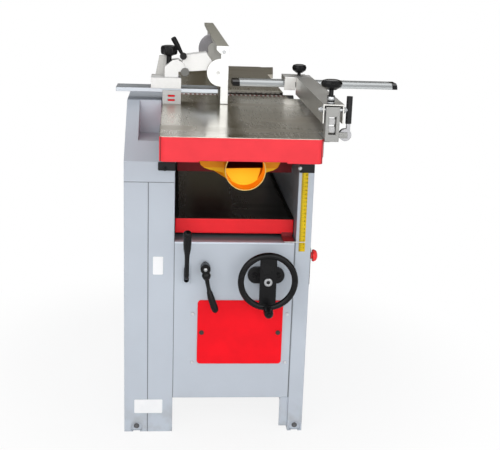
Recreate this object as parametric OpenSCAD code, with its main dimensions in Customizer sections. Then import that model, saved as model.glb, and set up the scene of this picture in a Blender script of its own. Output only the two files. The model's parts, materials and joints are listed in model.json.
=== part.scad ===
// Combination planer thicknesser, 310 mm wide, on a sheet steel cabinet.
// Frame: +X operator side, +Y towards the planer infeed end, +Z up.
// Origin: floor level, centre of the four anchor holes. The cutter axis is above y = 0.

/* [Tables] */
// Width of the planer tables
table_w = 350; // [340:1:380]
// Height of the planer tables above the floor
table_z = 850; // [830:1:880]
// Length of the outfeed table from the cutter axis
outfeed_len = 760; // [720:1:800]
// Length of the infeed table from the cutter axis
infeed_len = 790; // [740:1:830]
// Depth of the table casting at its edge
table_apron = 54; // [48:1:60]
// Thickness of the machined table top
table_skin = 12; // [10:1:16]
// Thickness of the casting's side walls and ribs
table_wall = 10; // [8:1:14]
// Distance from the cutter axis to each table's mouth edge
mouth = 40; // [39:1:46]
// Radius of the table's vertical corners
table_corner = 12; // [6:1:20]
// Sideways offset of the tables from the middle of the base
table_x = 23; // [15:1:30]
// Depth of cut set on the infeed table
infeed_drop = 1; // [0.5:0.1:2]

/* [Cabinet] */
// Length of the cabinet along the feed direction
base_len = 876; // [820:1:920]
// Spacing of the anchor holes across the machine, beyond the table width
anchor_extra = 72; // [60:1:90]
// Distance of the anchor holes from the cabinet's ends
anchor_inset = 58; // [50:1:80]
// Radius of the anchor holes
anchor_r = 6.5; // [5:0.5:9]
// Distance from the drive side face to its anchor holes
anchor_edge = 32; // [26:1:40]
// Width of the drive side cabinet
drive_w = 126; // [120:1:140]
// Width of the operator side column
op_w = 39; // [36:1:46]
// Sheet steel thickness
sheet = 2; // [1.5:0.5:3]
// Thickness of the floor plates
floor_plate = 3; // [3:0.5:5]
// Height of the supports between cabinet and planer tables
support_h = 65; // [60:1:75]
// Lower edge of the front and rear panels
panel_z0 = 98; // [80:1:120]
// Rise of the belt hood above the cabinet
hood_rise = 127; // [120:1:132]

/* [Cutter and feed] */
// Radius of the knife circle
knife_r = 36; // [35:0.5:38]
// Radius of the cutterblock body
block_r = 32; // [30:0.5:33]
// Radius of the cutterblock journals
journal_r = 15; // [12:0.5:17]
// Number of knives
knives_n = 3; // [2:1:4]
// Radius of the feed rollers
roller_r = 18; // [15:0.5:20]
// Distance of the feed rollers from the cutter axis
roller_dy = 75; // [70:1:85]
// Radius of the roller journals
roller_journal_r = 9; // [7:0.5:11]
// Radius of the cutter pulley
cutter_pulley_r = 32; // [28:1:34]
// Radius of the motor pulley
motor_pulley_r = 48; // [40:1:55]
// Radius of the motor body
motor_r = 75; // [65:1:80]

/* [Thicknesser] */
// Free height between the thicknesser table and the knife circle
stock_h = 202; // [190:1:215]
// Depth of the thicknesser table casting
thick_apron = 39; // [34:1:46]
// Distance of the thicknesser table's front edge from the cabinet's end
thick_inset = 48; // [43:1:60]
// Reach of the thicknesser table towards its own outfeed end
thick_rear = 330; // [300:1:380]
// Side clearance of the thicknesser table in the cabinet
thick_gap = 2; // [1:0.5:4]
// Radius of the table's lifting column
column_r = 45; // [38:1:50]
// Radius of the elevation screw
screw_r = 12; // [9:0.5:14]
// Radius of the handwheel shaft
shaft_r = 10; // [8:0.5:12]
// Radius to the middle of the handwheel rim
wheel_r = 68; // [60:1:75]
// Radius of the handwheel rim section
rim_r = 8; // [6:0.5:9]

/* [Fence] */
// Height of the fence above the table
fence_h = 150; // [130:1:165]
// Length of the fence
fence_len = 1100; // [900:10:1200]
// Working face of the fence from the middle of the table
fence_x = -4; // [-20:1:0]
// Thickness of the fence web
fence_web = 20; // [16:1:24]
// Thickness of the flat fence rail
rail_t = 10; // [8:1:12]
// Width of the flat fence rail
rail_w = 82; // [70:1:90]

/* [Guard] */
// Length of the bridge guard beam
beam_len = 476; // [420:1:520]
// Width of the bridge guard beam
beam_w = 84; // [76:1:92]
// Thickness of the bridge guard beam
beam_t = 16; // [14:1:20]
// Width of the guard arm's channel
arm_w = 45; // [42:1:50]
// Sideways swing of the guard arm, in degrees
arm_skew = 2.5; // [0:0.5:4]

/* [Fits] */
// Radial clearance of a running shaft
run = 0.05; // [0.02:0.01:0.09]
// Clearance between moving neighbours
gap = 0.4; // [0.3:0.1:0.8]

/* [Hidden] */
$fn = 48;
paint = [0.75, 0.78, 0.82];
red = [0.90, 0.16, 0.20];
iron = [0.50, 0.49, 0.46];
alu = [0.86, 0.87, 0.89];
steel = [0.62, 0.63, 0.65];
black = [0.09, 0.09, 0.10];
orange = [1.00, 0.62, 0.08];
yellow = [0.90, 0.80, 0.05];
green = [0.10, 0.55, 0.20];
eps = 0.01;

// Cabinet edges
anchor_dx = table_w + anchor_extra;
anchor_dy = base_len - 2 * anchor_inset;
cab_l = -anchor_dx / 2 - anchor_edge;
col_l = cab_l + drive_w;
cab_r = anchor_dx / 2 + op_w / 2;
col_r = cab_r - op_w;
end_y = base_len / 2;
table_bot = table_z - table_apron;
col_z = table_bot - support_h;
foot_y = end_y - 20;
shelf_z = panel_z0 + 6;
shelf_t = 6;
shelf_y = 330;
shelf_rib = 40;
shelf_rib_t = 6;

// Belt hood: a trapezium over the drive cabinet with a step on its inner front side
hood_run = 182;
hood_flat = 331;
hood_z = col_z + hood_rise;
hood_w = 89;
hood_r = cab_l + hood_w;
hood_y0 = -end_y;
hood_y1 = hood_y0 + hood_run;
hood_y2 = hood_y1 + hood_flat;
hood_y3 = hood_y2 + hood_run;
step_x = cab_l + 33;
step_z = col_z + 41;

// Tables
tab_l = table_x - table_w / 2;
tab_r = table_x + table_w / 2;
notch_y = 130;
lip_w = 24;
lip_t = 5;
sup_len = 95;
sup_y0 = end_y - 12 - sup_len;
guide_pin_r = 5;
guide_boss = 7;
guide_inset = 7;
infeed_travel = 3;
ledge_w = 45;
ledge_len = 265;
ledge_t = 14;
side_ledge_w = 36;
side_ledge_end = 110;

// Cutter and feed
cut_z = table_z - knife_r;
head_t = 30;
head_l1 = col_l - gap;
head_l0 = head_l1 - head_t;
head_r0 = col_r + 2;
head_r1 = head_r0 + head_t;
head_y = 122;
head_top = table_z - 28;
bearing_w = 34;
roller_z = cut_z - knife_r + roller_r - 1;
pulley_x0 = cab_l + 13;
pulley_w = 34;
sprocket_x0 = pulley_x0 + pulley_w + 10;
sprocket_t = 6;
sprocket_r = 40;
motor_y = 200;
motor_z = 260;
motor_len = 200;
motor_x0 = col_l + 17;
motor_shaft_r = 12;
motor_bore = 40;
motor_foot_x = [20, 160];
motor_foot_y = 60;
motor_foot_top = motor_z - 35;
terminal_x = [50, 130];
terminal_y = 32;
terminal_z = motor_z + motor_r + 24;
gearbox_y = -280;
gearbox_z = 600;
gearbox_size = [60, 100, 120];
gearbox_hub = 12;
gearbox_hub_r = 30;
belt_t = 5;
chain_t = 5;
finger_y = -112;
finger_z = head_top - 16;
finger_rod_r = 6;
finger_len = 32;
finger_n = 24;
hood_pin_y = 60;
hood_pin_z = col_z + 14;
hood_pin_r = 8;
port_x = table_x + 34;
port_z = col_z - 18;
port_r = 51;
port_y = -end_y - 4;
port_len = 52;
hood_wall = 2.5;
collar_t = 6;
collar_h = 4;
chute_y = port_y + 102;
chute_x0 = col_l + 6;
chute_x1 = col_r - 6;
chute_top = col_z + 27;
chute_wall_h = 45;
chute_z0 = port_z - 25;
chute_z1 = port_z + 32;
wing_t = 8;
wing_side = -10;
wing_mid = 7;
wing_inner = 0.9;
wing_points = [[-114, 13], [-110, 2], [-101, -5], [-86, -10], [-46, -18], [56, -15], [75, -9], [86, -2], [92, 11],
    [92, 30], [-114, 30]];

// Thicknesser table and its lift
th_z = cut_z - knife_r - stock_h;
th_bot = th_z - thick_apron;
th_l = col_l + thick_gap;
th_r = col_r - thick_gap;
th_skin = 14;
thick_front = end_y - thick_inset;
panel_z1 = th_bot - 11;
sill = 98;
col_guide_r = column_r + 15;
guide_z0 = shelf_z + shelf_t;
guide_z1 = panel_z1 - 46;
wheel_inset = 71.5;
wheel_x = th_r - wheel_inset;
shaft_out = 60;
col_foot = 90;
lock_arm = [26, -8, -106];
bracket_y = 62;
bracket_z = 60;
nut_len = 88;
wheel_z = panel_z1 - 84;
screw_y = -250;
gear_in = 24;
gear_out = 34;
lock_x = table_x - 61;
lock_z = panel_z1 - 60;
lock_r = 8;
lever_x = col_l + 32;
lever_y = -end_y + 38;
lever_z = panel_z1 - 91;
lever_pin_r = 6;
plate_w = 221;
plate_h = 175;
plate_x0 = table_x + 32.5 - plate_w / 2;
plate_x1 = plate_x0 + plate_w;
plate_z0 = panel_z0 + 98;
plate_z1 = plate_z0 + plate_h;
plate_t = 3;
stop_y = -end_y + 22;
stop_z = panel_z1 - 39;
start_z = stop_z - 46;
scale_x = col_r + 8;
scale_w = 16;
strip_w = 8;
strip_xs = [th_l, th_r - strip_w];
wheel_y = -end_y - 60;
button_r = 9;

// Fence: the flat rail slides in the bracket on the table's edge and carries everything above it
fx = table_x + fence_x;
fence_y0 = -250;
fence_z0 = table_z + 1;
fence_top = fence_z0 + fence_h;
flange_w = fence_web + 12;
flange_t = 14;
rail_y = -221;
rail_y0 = rail_y - rail_w / 2;
rail_y1 = rail_y + rail_w / 2;
rail_z = table_z + 30;
rail_top = rail_z + rail_t;
rail_over = 120;
rail_l = tab_l - rail_over;
rail_r = fx - 27;
bracket_w = 48;
car_x0 = tab_l - 30;
car_x1 = tab_l + 48;
car_top = rail_top + 27;
tower_top = car_top + 33;
knob_x = tab_l + 16;
knob_y = rail_y + 3;
clamp_x = tab_l + 53;
clamp_z = table_z + 122;
arm_x0 = tab_l + 55;
arm_x1 = fx - 58;
tilt_pin_r = 4;
lug_r = tilt_pin_r + 2.5;
tilt_x = fx - fence_web - lug_r - gap;
tilt_z = table_z + 82;
disc_r = 36;
arc_r = 46;
arc_in = 32;
arc_y = 250;
arc_t = 6;
ear_t = 12;
ear_y1 = -176;

// Bridge guard: the arm pivots at the outfeed table's corner and holds the beam over the cutter
piv = [tab_r + 18, 15 - outfeed_len, table_z + 62];
piv_r = 5;
post_x0 = tab_r + 1;
post_x1 = tab_r + 31;
post_y = 13;
beam_x0 = fx + 25;
beam_z = table_z + 24;
beam_top = beam_z + beam_t;
cap_l = 20;
cap_r = 14;
arm_fall = 20.81;
arm_drop = atan(arm_fall / -piv[1]);
arm_past = 37;
arm_len = arm_past - piv[1];
arm_t = 3;
arm_top = 12;
arm_deep = 29;
arm_grow = 8;
knob_side = -6;
hold_y = -beam_w / 2 - 1;
hold_t = 8;
arm_open = 85;
holder_side = 10.53;
holder_x = piv[0] - piv[1] * tan(arm_skew) - holder_side;
holder_l = 47;
holder_r = 21;
cam_x = tab_r + 46;
cam_z = table_z + 9;
cam_pin_r = 4;

// Helpers: a box between corners, and round bars along each axis
module box(x0, x1, y0, y1, z0, z1) {
    translate([x0, y0, z0]) cube([x1 - x0, y1 - y0, z1 - z0]);
}
module bar_x(x0, x1, y, z, r) {
    translate([x0, y, z]) rotate([0, 90, 0]) cylinder(r = r, h = x1 - x0);
}
module bar_y(x, y0, y1, z, r) {
    translate([x, y0, z]) rotate([-90, 0, 0]) cylinder(r = r, h = y1 - y0);
}
module bar_z(x, y, z0, z1, r) {
    translate([x, y, z0]) cylinder(r = r, h = z1 - z0);
}
// Outline in Y and Z carried along X
module along_x(x0, x1, points) {
    translate([x0, 0, 0]) rotate([90, 0, 90]) linear_extrude(x1 - x0) polygon(points);
}
// Outline in X and Z carried along Y
module along_y(y0, y1, points) {
    translate([0, y1, 0]) rotate([90, 0, 0]) linear_extrude(y1 - y0) polygon(points);
}
// Straight round bar between two points
module strut(a, b, r1, r2) {
    d = b - a;
    n = norm(d);
    translate(a) rotate([0, acos(d[2] / n), atan2(d[1], d[0])]) cylinder(r1 = r1, r2 = r2, h = n);
}
// Plate in X and Z with round corners, facing -Y
module round_plate(x0, x1, y0, y1, z0, z1, r) {
    box(x0 + r, x1 - r, y0, y1, z0, z1);
    box(x0, x1, y0, y1, z0 + r, z1 - r);
    for (x = [x0 + r, x1 - r], z = [z0 + r, z1 - r]) bar_y(x, y0, y1, z, r);
}
// Foot cut-out in the end wall of a column
module foot_notch(x, side) {
    y = side * end_y;
    bar_y(x, y - 3 * sheet, y + 3 * sheet, 12, 15);
    box(x - 15, x + 15, y - 3 * sheet, y + 3 * sheet, floor_plate, 12);
}
module floor_holes(x) {
    for (s = [-1, 1]) {
        bar_z(x, s * anchor_dy / 2, -1, floor_plate + 1, anchor_r);
        bar_z(x, s * foot_y, -1, floor_plate + 1, 6.3);
    }
}

// Sheet cabinet on the drive side, with the sloped belt hood on top
function slope_y(z, t) = hood_y0 + t + (z - col_z) * hood_run / hood_rise;
module hood_outline(x0, x1, stepped, t) {
    top = hood_z - t;
    k = t * norm([hood_run, hood_rise]) / hood_rise;
    front = stepped
        ? [[slope_y(step_z - t, k), step_z - t], [hood_y1 + t, step_z - t], [hood_y1 + t, top]]
        : [[slope_y(top, k), top]];
    back = [[hood_y3 - k - (top - col_z) * hood_run / hood_rise, top]];
    base = t > 0
        ? [[hood_y0 + k + 6, col_z - 3 * sheet], [hood_y0 + k + 6, slope_start]]
        : [[hood_y0, col_z - eps], [hood_y0, col_z]];
    tail = t > 0
        ? [[hood_y3 - k - 6, slope_start], [hood_y3 - k - 6, col_z - 3 * sheet]]
        : [[hood_y3, col_z], [hood_y3, col_z - eps]];
    along_x(x0, x1, concat(base, front, back, tail));
}
slope_start = col_z + 6 * hood_rise / hood_run;
module drive_cabinet() color(paint) difference() {
    union() {
        box(cab_l, col_l, -end_y, end_y, 0, col_z);
        hood_outline(cab_l, step_x, false, 0);
        hood_outline(step_x - eps, hood_r, true, 0);
    }
    box(cab_l + sheet, col_l - sheet, -end_y + sheet, end_y - sheet, floor_plate, col_z - sheet);
    hood_outline(cab_l + sheet, step_x - sheet, false, sheet);
    hood_outline(step_x - sheet - eps, hood_r - sheet, true, sheet);
    box(cab_l - 1, cab_l + sheet + 1, -end_y + 60, end_y - 60, 70, col_z - 40);
    bar_x(hood_r - sheet - 1, hood_r + 1, 0, cut_z, journal_r + 4);
    for (s = [-1, 1]) bar_x(hood_r - sheet - 1, hood_r + 1, s * roller_dy, roller_z, roller_journal_r + 4);
    bar_x(col_l - sheet - 1, col_l + 1, motor_y, motor_z, 20);
    for (s = [-1, 1]) foot_notch(-anchor_dx / 2, s);
    floor_holes(-anchor_dx / 2);
}
module drive_side_cover() color(paint) difference() {
    box(cab_l - sheet, cab_l, -end_y + 45, end_y - 45, 55, col_z - 25);
    for (i = [0 : 7], y = [-220, 220]) {
        box(cab_l - 3 * sheet, cab_l + 1, y - 60, y + 60, 130 + i * 16, 136 + i * 16);
    }
}
module operator_column() color(paint) difference() {
    box(col_r, cab_r, -end_y, end_y, 0, col_z);
    box(col_r + sheet, cab_r - sheet, -end_y + sheet, end_y - sheet, floor_plate, col_z - sheet);
    for (s = [-1, 1]) foot_notch(anchor_dx / 2, s);
    floor_holes(anchor_dx / 2);
    for (z = [stop_z, start_z]) bar_x(cab_r - sheet - 1, cab_r + 1, stop_y, z, 12);
}

// Panels between the columns; the front one carries the controls
module front_panel() color(paint) difference() {
    union() {
        box(col_l, col_r, -end_y, -end_y + sheet, panel_z0, panel_z1);
        box(col_l, col_r, -end_y, -end_y + sill, panel_z1 - sheet, panel_z1);
        box(col_l, col_r, -end_y, -end_y + 15, panel_z0, panel_z0 + sheet);
    }
    bar_y(wheel_x, -end_y - 1, -end_y + sheet + 1, wheel_z, shaft_r + 4);
    bar_y(lock_x, -end_y - 1, -end_y + sheet + 1, lock_z, lock_r + gap);
    box(lever_x - 8, lever_x + 8, -end_y - 1, -end_y + sheet + 1, lever_z - 17, lever_z + 27);
    box(plate_x0 + 20, plate_x1 - 20, -end_y - 1, -end_y + sheet + 1, plate_z0 + 20, plate_z1 - 20);
}
module rear_panel() color(paint) {
    box(col_l, col_r, end_y - sheet, end_y, panel_z0, panel_z1);
    box(col_l, col_r, end_y - 15, end_y, panel_z1 - sheet, panel_z1);
    box(col_l, col_r, end_y - 15, end_y, panel_z0, panel_z0 + sheet);
}
module access_plate() color(red) difference() {
    round_plate(plate_x0, plate_x1, -end_y - plate_t, -end_y, plate_z0, plate_z1, 9);
    for (x = [plate_x0 + 11, plate_x1 - 11]) {
        bar_y(x, -end_y - plate_t - 1, -end_y + 1, (plate_z0 + plate_z1) / 2, 3.2);
    }
}
module panel_fasteners() color(steel) {
    mid = (plate_z0 + plate_z1) / 2;
    for (x = [plate_x0 + 11, plate_x1 - 11]) {
        bar_y(x, -end_y - plate_t - 3, -end_y - plate_t, mid, 6);
        bar_y(x, -end_y - plate_t - eps, -end_y, mid, 3);
    }
    for (x = [plate_x0 - 12, plate_x1 + 12], z = [mid + 50, plate_z0 + 2]) {
        translate([x, -end_y, z]) rotate([90, 0, 0]) cylinder(r1 = 5, r2 = 3.4, h = 2.4);
    }
}
module levelling_bolts() color(steel) for (x = [-anchor_dx / 2, anchor_dx / 2], s = [-1, 1]) {
    bar_z(x, s * foot_y, 0.6, floor_plate + 9, 6);
    translate([x, s * foot_y, floor_plate]) cylinder(r = 10.5, h = 8, $fn = 6);
}
module base_shelf() color(paint) difference() {
    union() {
        box(col_l, col_r, -shelf_y, shelf_y, shelf_z, shelf_z + shelf_t);
        for (s = [-1, 1]) {
            y = s * shelf_y - shelf_rib_t / 2;
            box(col_l, col_r, y, y + shelf_rib_t, shelf_z - shelf_rib, shelf_z + shelf_t);
        }
    }
    bar_z(table_x, 0, shelf_z - 1, shelf_z + shelf_t + 1, column_r - 10);
}

// Red castings on the columns that carry the cutter and the feed rollers
module head_castings() color(red) difference() {
    for (x = [[head_l0, head_l1], [head_r0, head_r1]]) box(x[0], x[1], -head_y, head_y, col_z, head_top);
    box(head_l0 - 1, head_r1 + 1, -bearing_w, bearing_w, cut_z - bearing_w, head_top + 1);
    for (s = [-1, 1]) bar_x(head_l0 - 1, head_r1 + 1, s * roller_dy, roller_z, roller_journal_r + run);
    bar_x(head_l1 - 12, head_r0 + 12, finger_y, finger_z, finger_rod_r);
    bar_x(head_l1 - 12, head_r0 + 12, hood_pin_y, hood_pin_z, hood_pin_r + run);
}
module cutter_bearings() color(iron) difference() {
    for (x = [[head_l0, head_l1], [head_r0, head_r1]]) {
        box(x[0], x[1], -bearing_w, bearing_w, cut_z - bearing_w, cut_z + 10);
        bar_x(x[0], x[1], 0, cut_z + 4, 28);
    }
    bar_x(head_l0 - 1, head_r1 + 1, 0, cut_z, journal_r + run);
}
// Supports: the outfeed table sits on its four, the infeed table slides on pins in the other four
module table_supports() color(black) {
    low = table_bot - infeed_drop - infeed_travel - gap;
    for (y = [-sup_y0 - sup_len, -notch_y - 20 - sup_len]) {
        box(tab_l, head_l1, y, y + sup_len, col_z, table_bot);
        box(tab_r - 12, cab_r - sheet, y, y + sup_len, col_z, table_bot);
    }
    for (y = [sup_y0, notch_y + 20]) {
        box(tab_l, head_l1, y, y + sup_len, col_z, low);
        box(tab_r - 12, cab_r - sheet, y, y + sup_len, col_z, low);
        for (x = [tab_l + guide_inset, tab_r - guide_inset]) {
            bar_z(x, y + sup_len / 2, low - eps, table_bot + 26, guide_pin_r);
        }
    }
}
// Fixed pins: the feed lever's pin, the kickback fingers' rod and the guard arm's pin
module pivot_pins() color(steel) {
    bar_x(col_l, lever_x + 14, lever_y, lever_z, lever_pin_r);
    bar_x(head_l1 - 12, head_r0 + 12, finger_y, finger_z, finger_rod_r);
    guard_frame() bar_x(-arm_w / 2 - 2, arm_w / 2 + 2, 0, 0, piv_r);
}

// A planer table of this length from the cutter axis, ribs below, machined top
module table_body(len, side) {
    difference() {
        translate([table_x, side * (len + mouth) / 2, table_bot]) linear_extrude(table_apron) union() {
            square([table_w - 2 * table_corner, len - mouth], center = true);
            translate([0, -side * table_corner / 2]) {
                square([table_w, len - mouth - table_corner], center = true);
            }
            for (x = [-1, 1]) {
                corner = [x * (table_w / 2 - table_corner), side * ((len - mouth) / 2 - table_corner)];
                translate(corner) circle(table_corner);
            }
        }
        for (i = [0 : 3]) rib_bay(i, len, side);
        translate([table_x - table_w / 2 - 1, side > 0 ? mouth - 1 : -notch_y, table_bot - 1]) {
            cube([table_w + 2, notch_y - mouth + 1, head_top + 8 - table_bot + 1]);
        }
        translate([tab_l + table_wall, side > 0 ? mouth - 1 : -mouth - lip_w, table_z - lip_t]) {
            cube([table_w - 2 * table_wall, lip_w + 1, lip_t + 1]);
        }
    }
}
// Hollow between two ribs under a table
module rib_bay(i, len, side) {
    bay = (len - notch_y - table_wall) / 4;
    y = notch_y + table_wall + i * bay;
    translate([tab_l + table_wall, side > 0 ? y : -y - bay + table_wall, table_bot - 1]) {
        cube([table_w - 2 * table_wall, bay - table_wall, table_apron - table_skin + 1]);
    }
    translate([tab_l + table_wall, side > 0 ? mouth - 1 : -notch_y, table_bot - 1]) {
        cube([table_w - 2 * table_wall, notch_y - mouth + 1, table_apron - table_skin + 1]);
    }
}
module outfeed_table() color(red) difference() {
    union() {
        table_body(outfeed_len, -1);
        translate([0, 0, table_z - ledge_t]) linear_extrude(ledge_t) {
            polygon([[tab_r - 2, piv[1] + 93], [tab_r + side_ledge_w - 10, piv[1] + 93],
                [tab_r + side_ledge_w, piv[1] + 103], [tab_r + side_ledge_w, -side_ledge_end],
                [tab_r - 2, -side_ledge_end]]);
        }
    }
    box(table_x - 90, table_x + 98, -outfeed_len - 1, table_wall - outfeed_len, table_bot - 1, table_bot + 3);
}
module infeed_table() color(red) translate([0, 0, -infeed_drop]) difference() {
    union() {
        table_body(infeed_len, 1);
        translate([0, 0, table_z - ledge_t]) linear_extrude(ledge_t) {
            polygon([[tab_r - 2, infeed_len - ledge_len], [tab_r + 20, infeed_len - ledge_len + 12],
                [tab_r + ledge_w, infeed_len - 2], [tab_r - 2, infeed_len - 2 - table_corner]]);
        }
        for (y = [sup_y0, notch_y + 20]) {
            w = 2 * guide_inset + guide_boss;
            mid = y + sup_len / 2;
            box(tab_l + 1, tab_l + w, mid - 12, mid + 12, table_bot, table_z - table_skin + eps);
            box(tab_r - w, tab_r - 1, mid - 12, mid + 12, table_bot, table_z - table_skin + eps);
        }
    }
    for (y = [sup_y0, notch_y + 20], x = [tab_l + guide_inset, tab_r - guide_inset]) {
        bar_z(x, y + sup_len / 2, table_bot - 1, table_bot + 26 + 2 * infeed_travel, guide_pin_r + run);
    }
}
module lip(side) difference() {
    translate([tab_l + table_wall, side > 0 ? mouth : -mouth - lip_w, table_z - lip_t]) {
        cube([table_w - 2 * table_wall, lip_w, lip_t]);
    }
    for (i = [0 : 21]) {
        x = tab_l + table_wall + 12 + i * 14.4;
        box(x, x + 6, side * mouth - 8, side * mouth + 8, table_z - lip_t - 1, table_z + 1);
    }
}
module outfeed_lip() color(alu) lip(-1);
module infeed_lip() color(alu) translate([0, 0, -infeed_drop]) lip(1);

// Cutterblock with knives, on a shaft that reaches into the belt hood
module knife_slots(w, top) for (i = [0 : knives_n - 1]) {
    translate([0, 0, cut_z]) rotate([i * 360 / knives_n + 40, 0, 0]) {
        box(col_l + 6, col_r - 6, -w / 2, w / 2, block_r - 16, top);
    }
}
module cutterblock() color(steel) {
    difference() {
        bar_x(col_l + 2, col_r - 2, 0, cut_z, block_r);
        knife_slots(5, block_r + 2);
    }
    bar_x(head_l0 - 4, col_l + 2 + eps, 0, cut_z, journal_r);
    bar_x(pulley_x0, head_l0 - 4 + eps, 0, cut_z, journal_r - 3);
    bar_x(col_r - 2 - eps, head_r1 + 2, 0, cut_z, journal_r);
}
module knives() color(alu) knife_slots(5, knife_r - 0.15);
module pulley(y, z, r, bore) difference() {
    union() {
        bar_x(pulley_x0, pulley_x0 + pulley_w, y, z, r);
        for (x = [pulley_x0, pulley_x0 + pulley_w - 4]) bar_x(x, x + 4, y, z, r + 4);
    }
    bar_x(pulley_x0 - 1, pulley_x0 + pulley_w + 1, y, z, bore);
}
module cutter_pulley() color(iron) pulley(0, cut_z, cutter_pulley_r, journal_r - 3);
module motor() color(iron) difference() {
    union() {
        bar_x(motor_x0, motor_x0 + motor_len, motor_y, motor_z, motor_r - 6);
        for (i = [0 : 9]) bar_x(motor_x0 + 20 + i * 14, motor_x0 + 26 + i * 14, motor_y, motor_z, motor_r);
        box(motor_x0 + terminal_x[0], motor_x0 + terminal_x[1], motor_y - terminal_y, motor_y + terminal_y,
            motor_z, terminal_z);
    }
    bar_x(motor_x0 - 1, motor_x0 + motor_bore, motor_y, motor_z, motor_shaft_r + run);
}
module motor_foot() color(iron) difference() {
    box(motor_x0 + motor_foot_x[0], motor_x0 + motor_foot_x[1], motor_y - motor_foot_y,
        motor_y + motor_foot_y, guide_z0, motor_foot_top);
    bar_x(motor_x0, motor_x0 + motor_len, motor_y, motor_z, motor_r);
}
module motor_pulley() color(steel) {
    pulley(motor_y, motor_z, motor_pulley_r, motor_shaft_r - eps);
    bar_x(pulley_x0, motor_x0 + motor_bore - 1, motor_y, motor_z, motor_shaft_r);
}
// A loop of belt or chain round two wheels
module loop(x0, x1, a, ra, b, rb, t) translate([x0, 0, 0]) rotate([90, 0, 90]) {
    linear_extrude(x1 - x0) difference() {
        hull() {
            translate(a) circle(ra + gap + t);
            translate(b) circle(rb + gap + t);
        }
        hull() {
            translate(a) circle(ra + gap);
            translate(b) circle(rb + gap);
        }
    }
}
module drive_belt() color(black) {
    loop(pulley_x0 + 5, pulley_x0 + pulley_w - 5, [0, cut_z], cutter_pulley_r, [motor_y, motor_z],
        motor_pulley_r, belt_t);
}
module feed_chain() color(steel) {
    loop(sprocket_x0, sprocket_x0 + sprocket_t, [-roller_dy, roller_z], sprocket_r, [roller_dy, roller_z],
        sprocket_r, chain_t);
}
module roller(y, flutes) {
    difference() {
        bar_x(col_l + 2, col_r - 2, y, roller_z, roller_r);
        for (i = [0 : flutes - 1]) translate([0, y, roller_z]) rotate([i * 360 / max(flutes, 1), 0, 0]) {
            box(col_l, col_r, -1.5, 1.5, roller_r - 2, roller_r + 1);
        }
    }
    bar_x(sprocket_x0, col_l + 2 + eps, y, roller_z, roller_journal_r);
    bar_x(col_r - 2 - eps, head_r1 + 2, y, roller_z, roller_journal_r);
    difference() {
        bar_x(sprocket_x0, sprocket_x0 + sprocket_t, y, roller_z, sprocket_r);
        for (a = [0 : 60 : 300]) {
            bar_x(sprocket_x0 - 1, sprocket_x0 + sprocket_t + 1, y + 25 * cos(a), roller_z + 25 * sin(a), 8);
        }
    }
}
module thicknesser_infeed_roller() color(steel) roller(-roller_dy, 12);
module thicknesser_outfeed_roller() color(steel) roller(roller_dy, 0);
module feed_gearbox() color(iron) {
    x1 = col_l - sheet;
    x0 = x1 - gearbox_size[0];
    dy = gearbox_size[1] / 2;
    dz = gearbox_size[2] / 2;
    box(x0, x1, gearbox_y - dy, gearbox_y + dy, gearbox_z - dz, gearbox_z + dz);
    bar_x(x0 - gearbox_hub, x0 + eps, gearbox_y, gearbox_z, gearbox_hub_r);
}
module kickback_fingers() color(steel) {
    pitch = (col_r - col_l - 20) / finger_n;
    for (i = [0 : finger_n - 1]) {
        x = col_l + 10 + i * pitch;
        difference() {
            union() {
                bar_x(x, x + pitch - 2, finger_y, finger_z, finger_rod_r + 3.5);
                along_x(x, x + pitch - 2, [for (p = [[-9, 0], [9, 0], [4, -finger_len], [-4, -finger_len]])
                    [finger_y + p[0], finger_z + p[1]]]);
            }
            bar_x(x - 1, x + pitch, finger_y, finger_z, finger_rod_r + run);
        }
    }
}

// Orange hood: a round hose port that flares into two wings, in front of the red chute under the cutterblock
function wing(k) = [for (p = wing_points)
    [port_x + wing_side + k * (p[0] - wing_side), port_z + wing_mid + k * (p[1] - wing_mid)]];
module hood_flare(k, r, past) hull() {
    along_y(chute_y - wing_t - past, chute_y + past, wing(k));
    bar_y(port_x, port_y + port_len + 3, port_y + port_len + 4, port_z, r, $fn = 32);
}
module dust_hood() color(orange) difference() {
    union() {
        hood_flare(1, port_r, 0);
        hull() {
            along_y(port_y + port_len, port_y + port_len + wing_t, wing(1));
            along_y(chute_y - wing_t, chute_y, wing(1));
        }
        bar_y(port_x, port_y, port_y + port_len + 1, port_z, port_r);
        bar_y(port_x, port_y + port_len, port_y + port_len + collar_t, port_z, port_r + collar_h);
    }
    hood_flare(wing_inner, port_r - hood_wall, 1);
    along_y(port_y + port_len + hood_wall, chute_y + 1, wing(wing_inner));
    bar_y(port_x, port_y - 1, port_y + port_len + collar_t, port_z, port_r - hood_wall);
}
module chute_solid(t) hull() {
    box(chute_x0 + t, chute_x1 - t, -45 + t, 95 - t, chute_top - chute_wall_h + t, chute_top + t);
    box(chute_x0 + t, chute_x1 - t, chute_y + t, chute_y + t + 4, chute_z0 + t, chute_z1 - t);
}
module chip_chute() color(red) difference() {
    union() {
        chute_solid(0);
        for (x = [head_l1 - 10, col_r - 10]) {
            bar_x(x, x + head_r0 + 20 - col_r, hood_pin_y, hood_pin_z, hood_pin_r);
        }
    }
    chute_solid(hood_wall);
    along_y(chute_y - 1, chute_y + 2 * hood_wall, wing(wing_inner));
}

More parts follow.
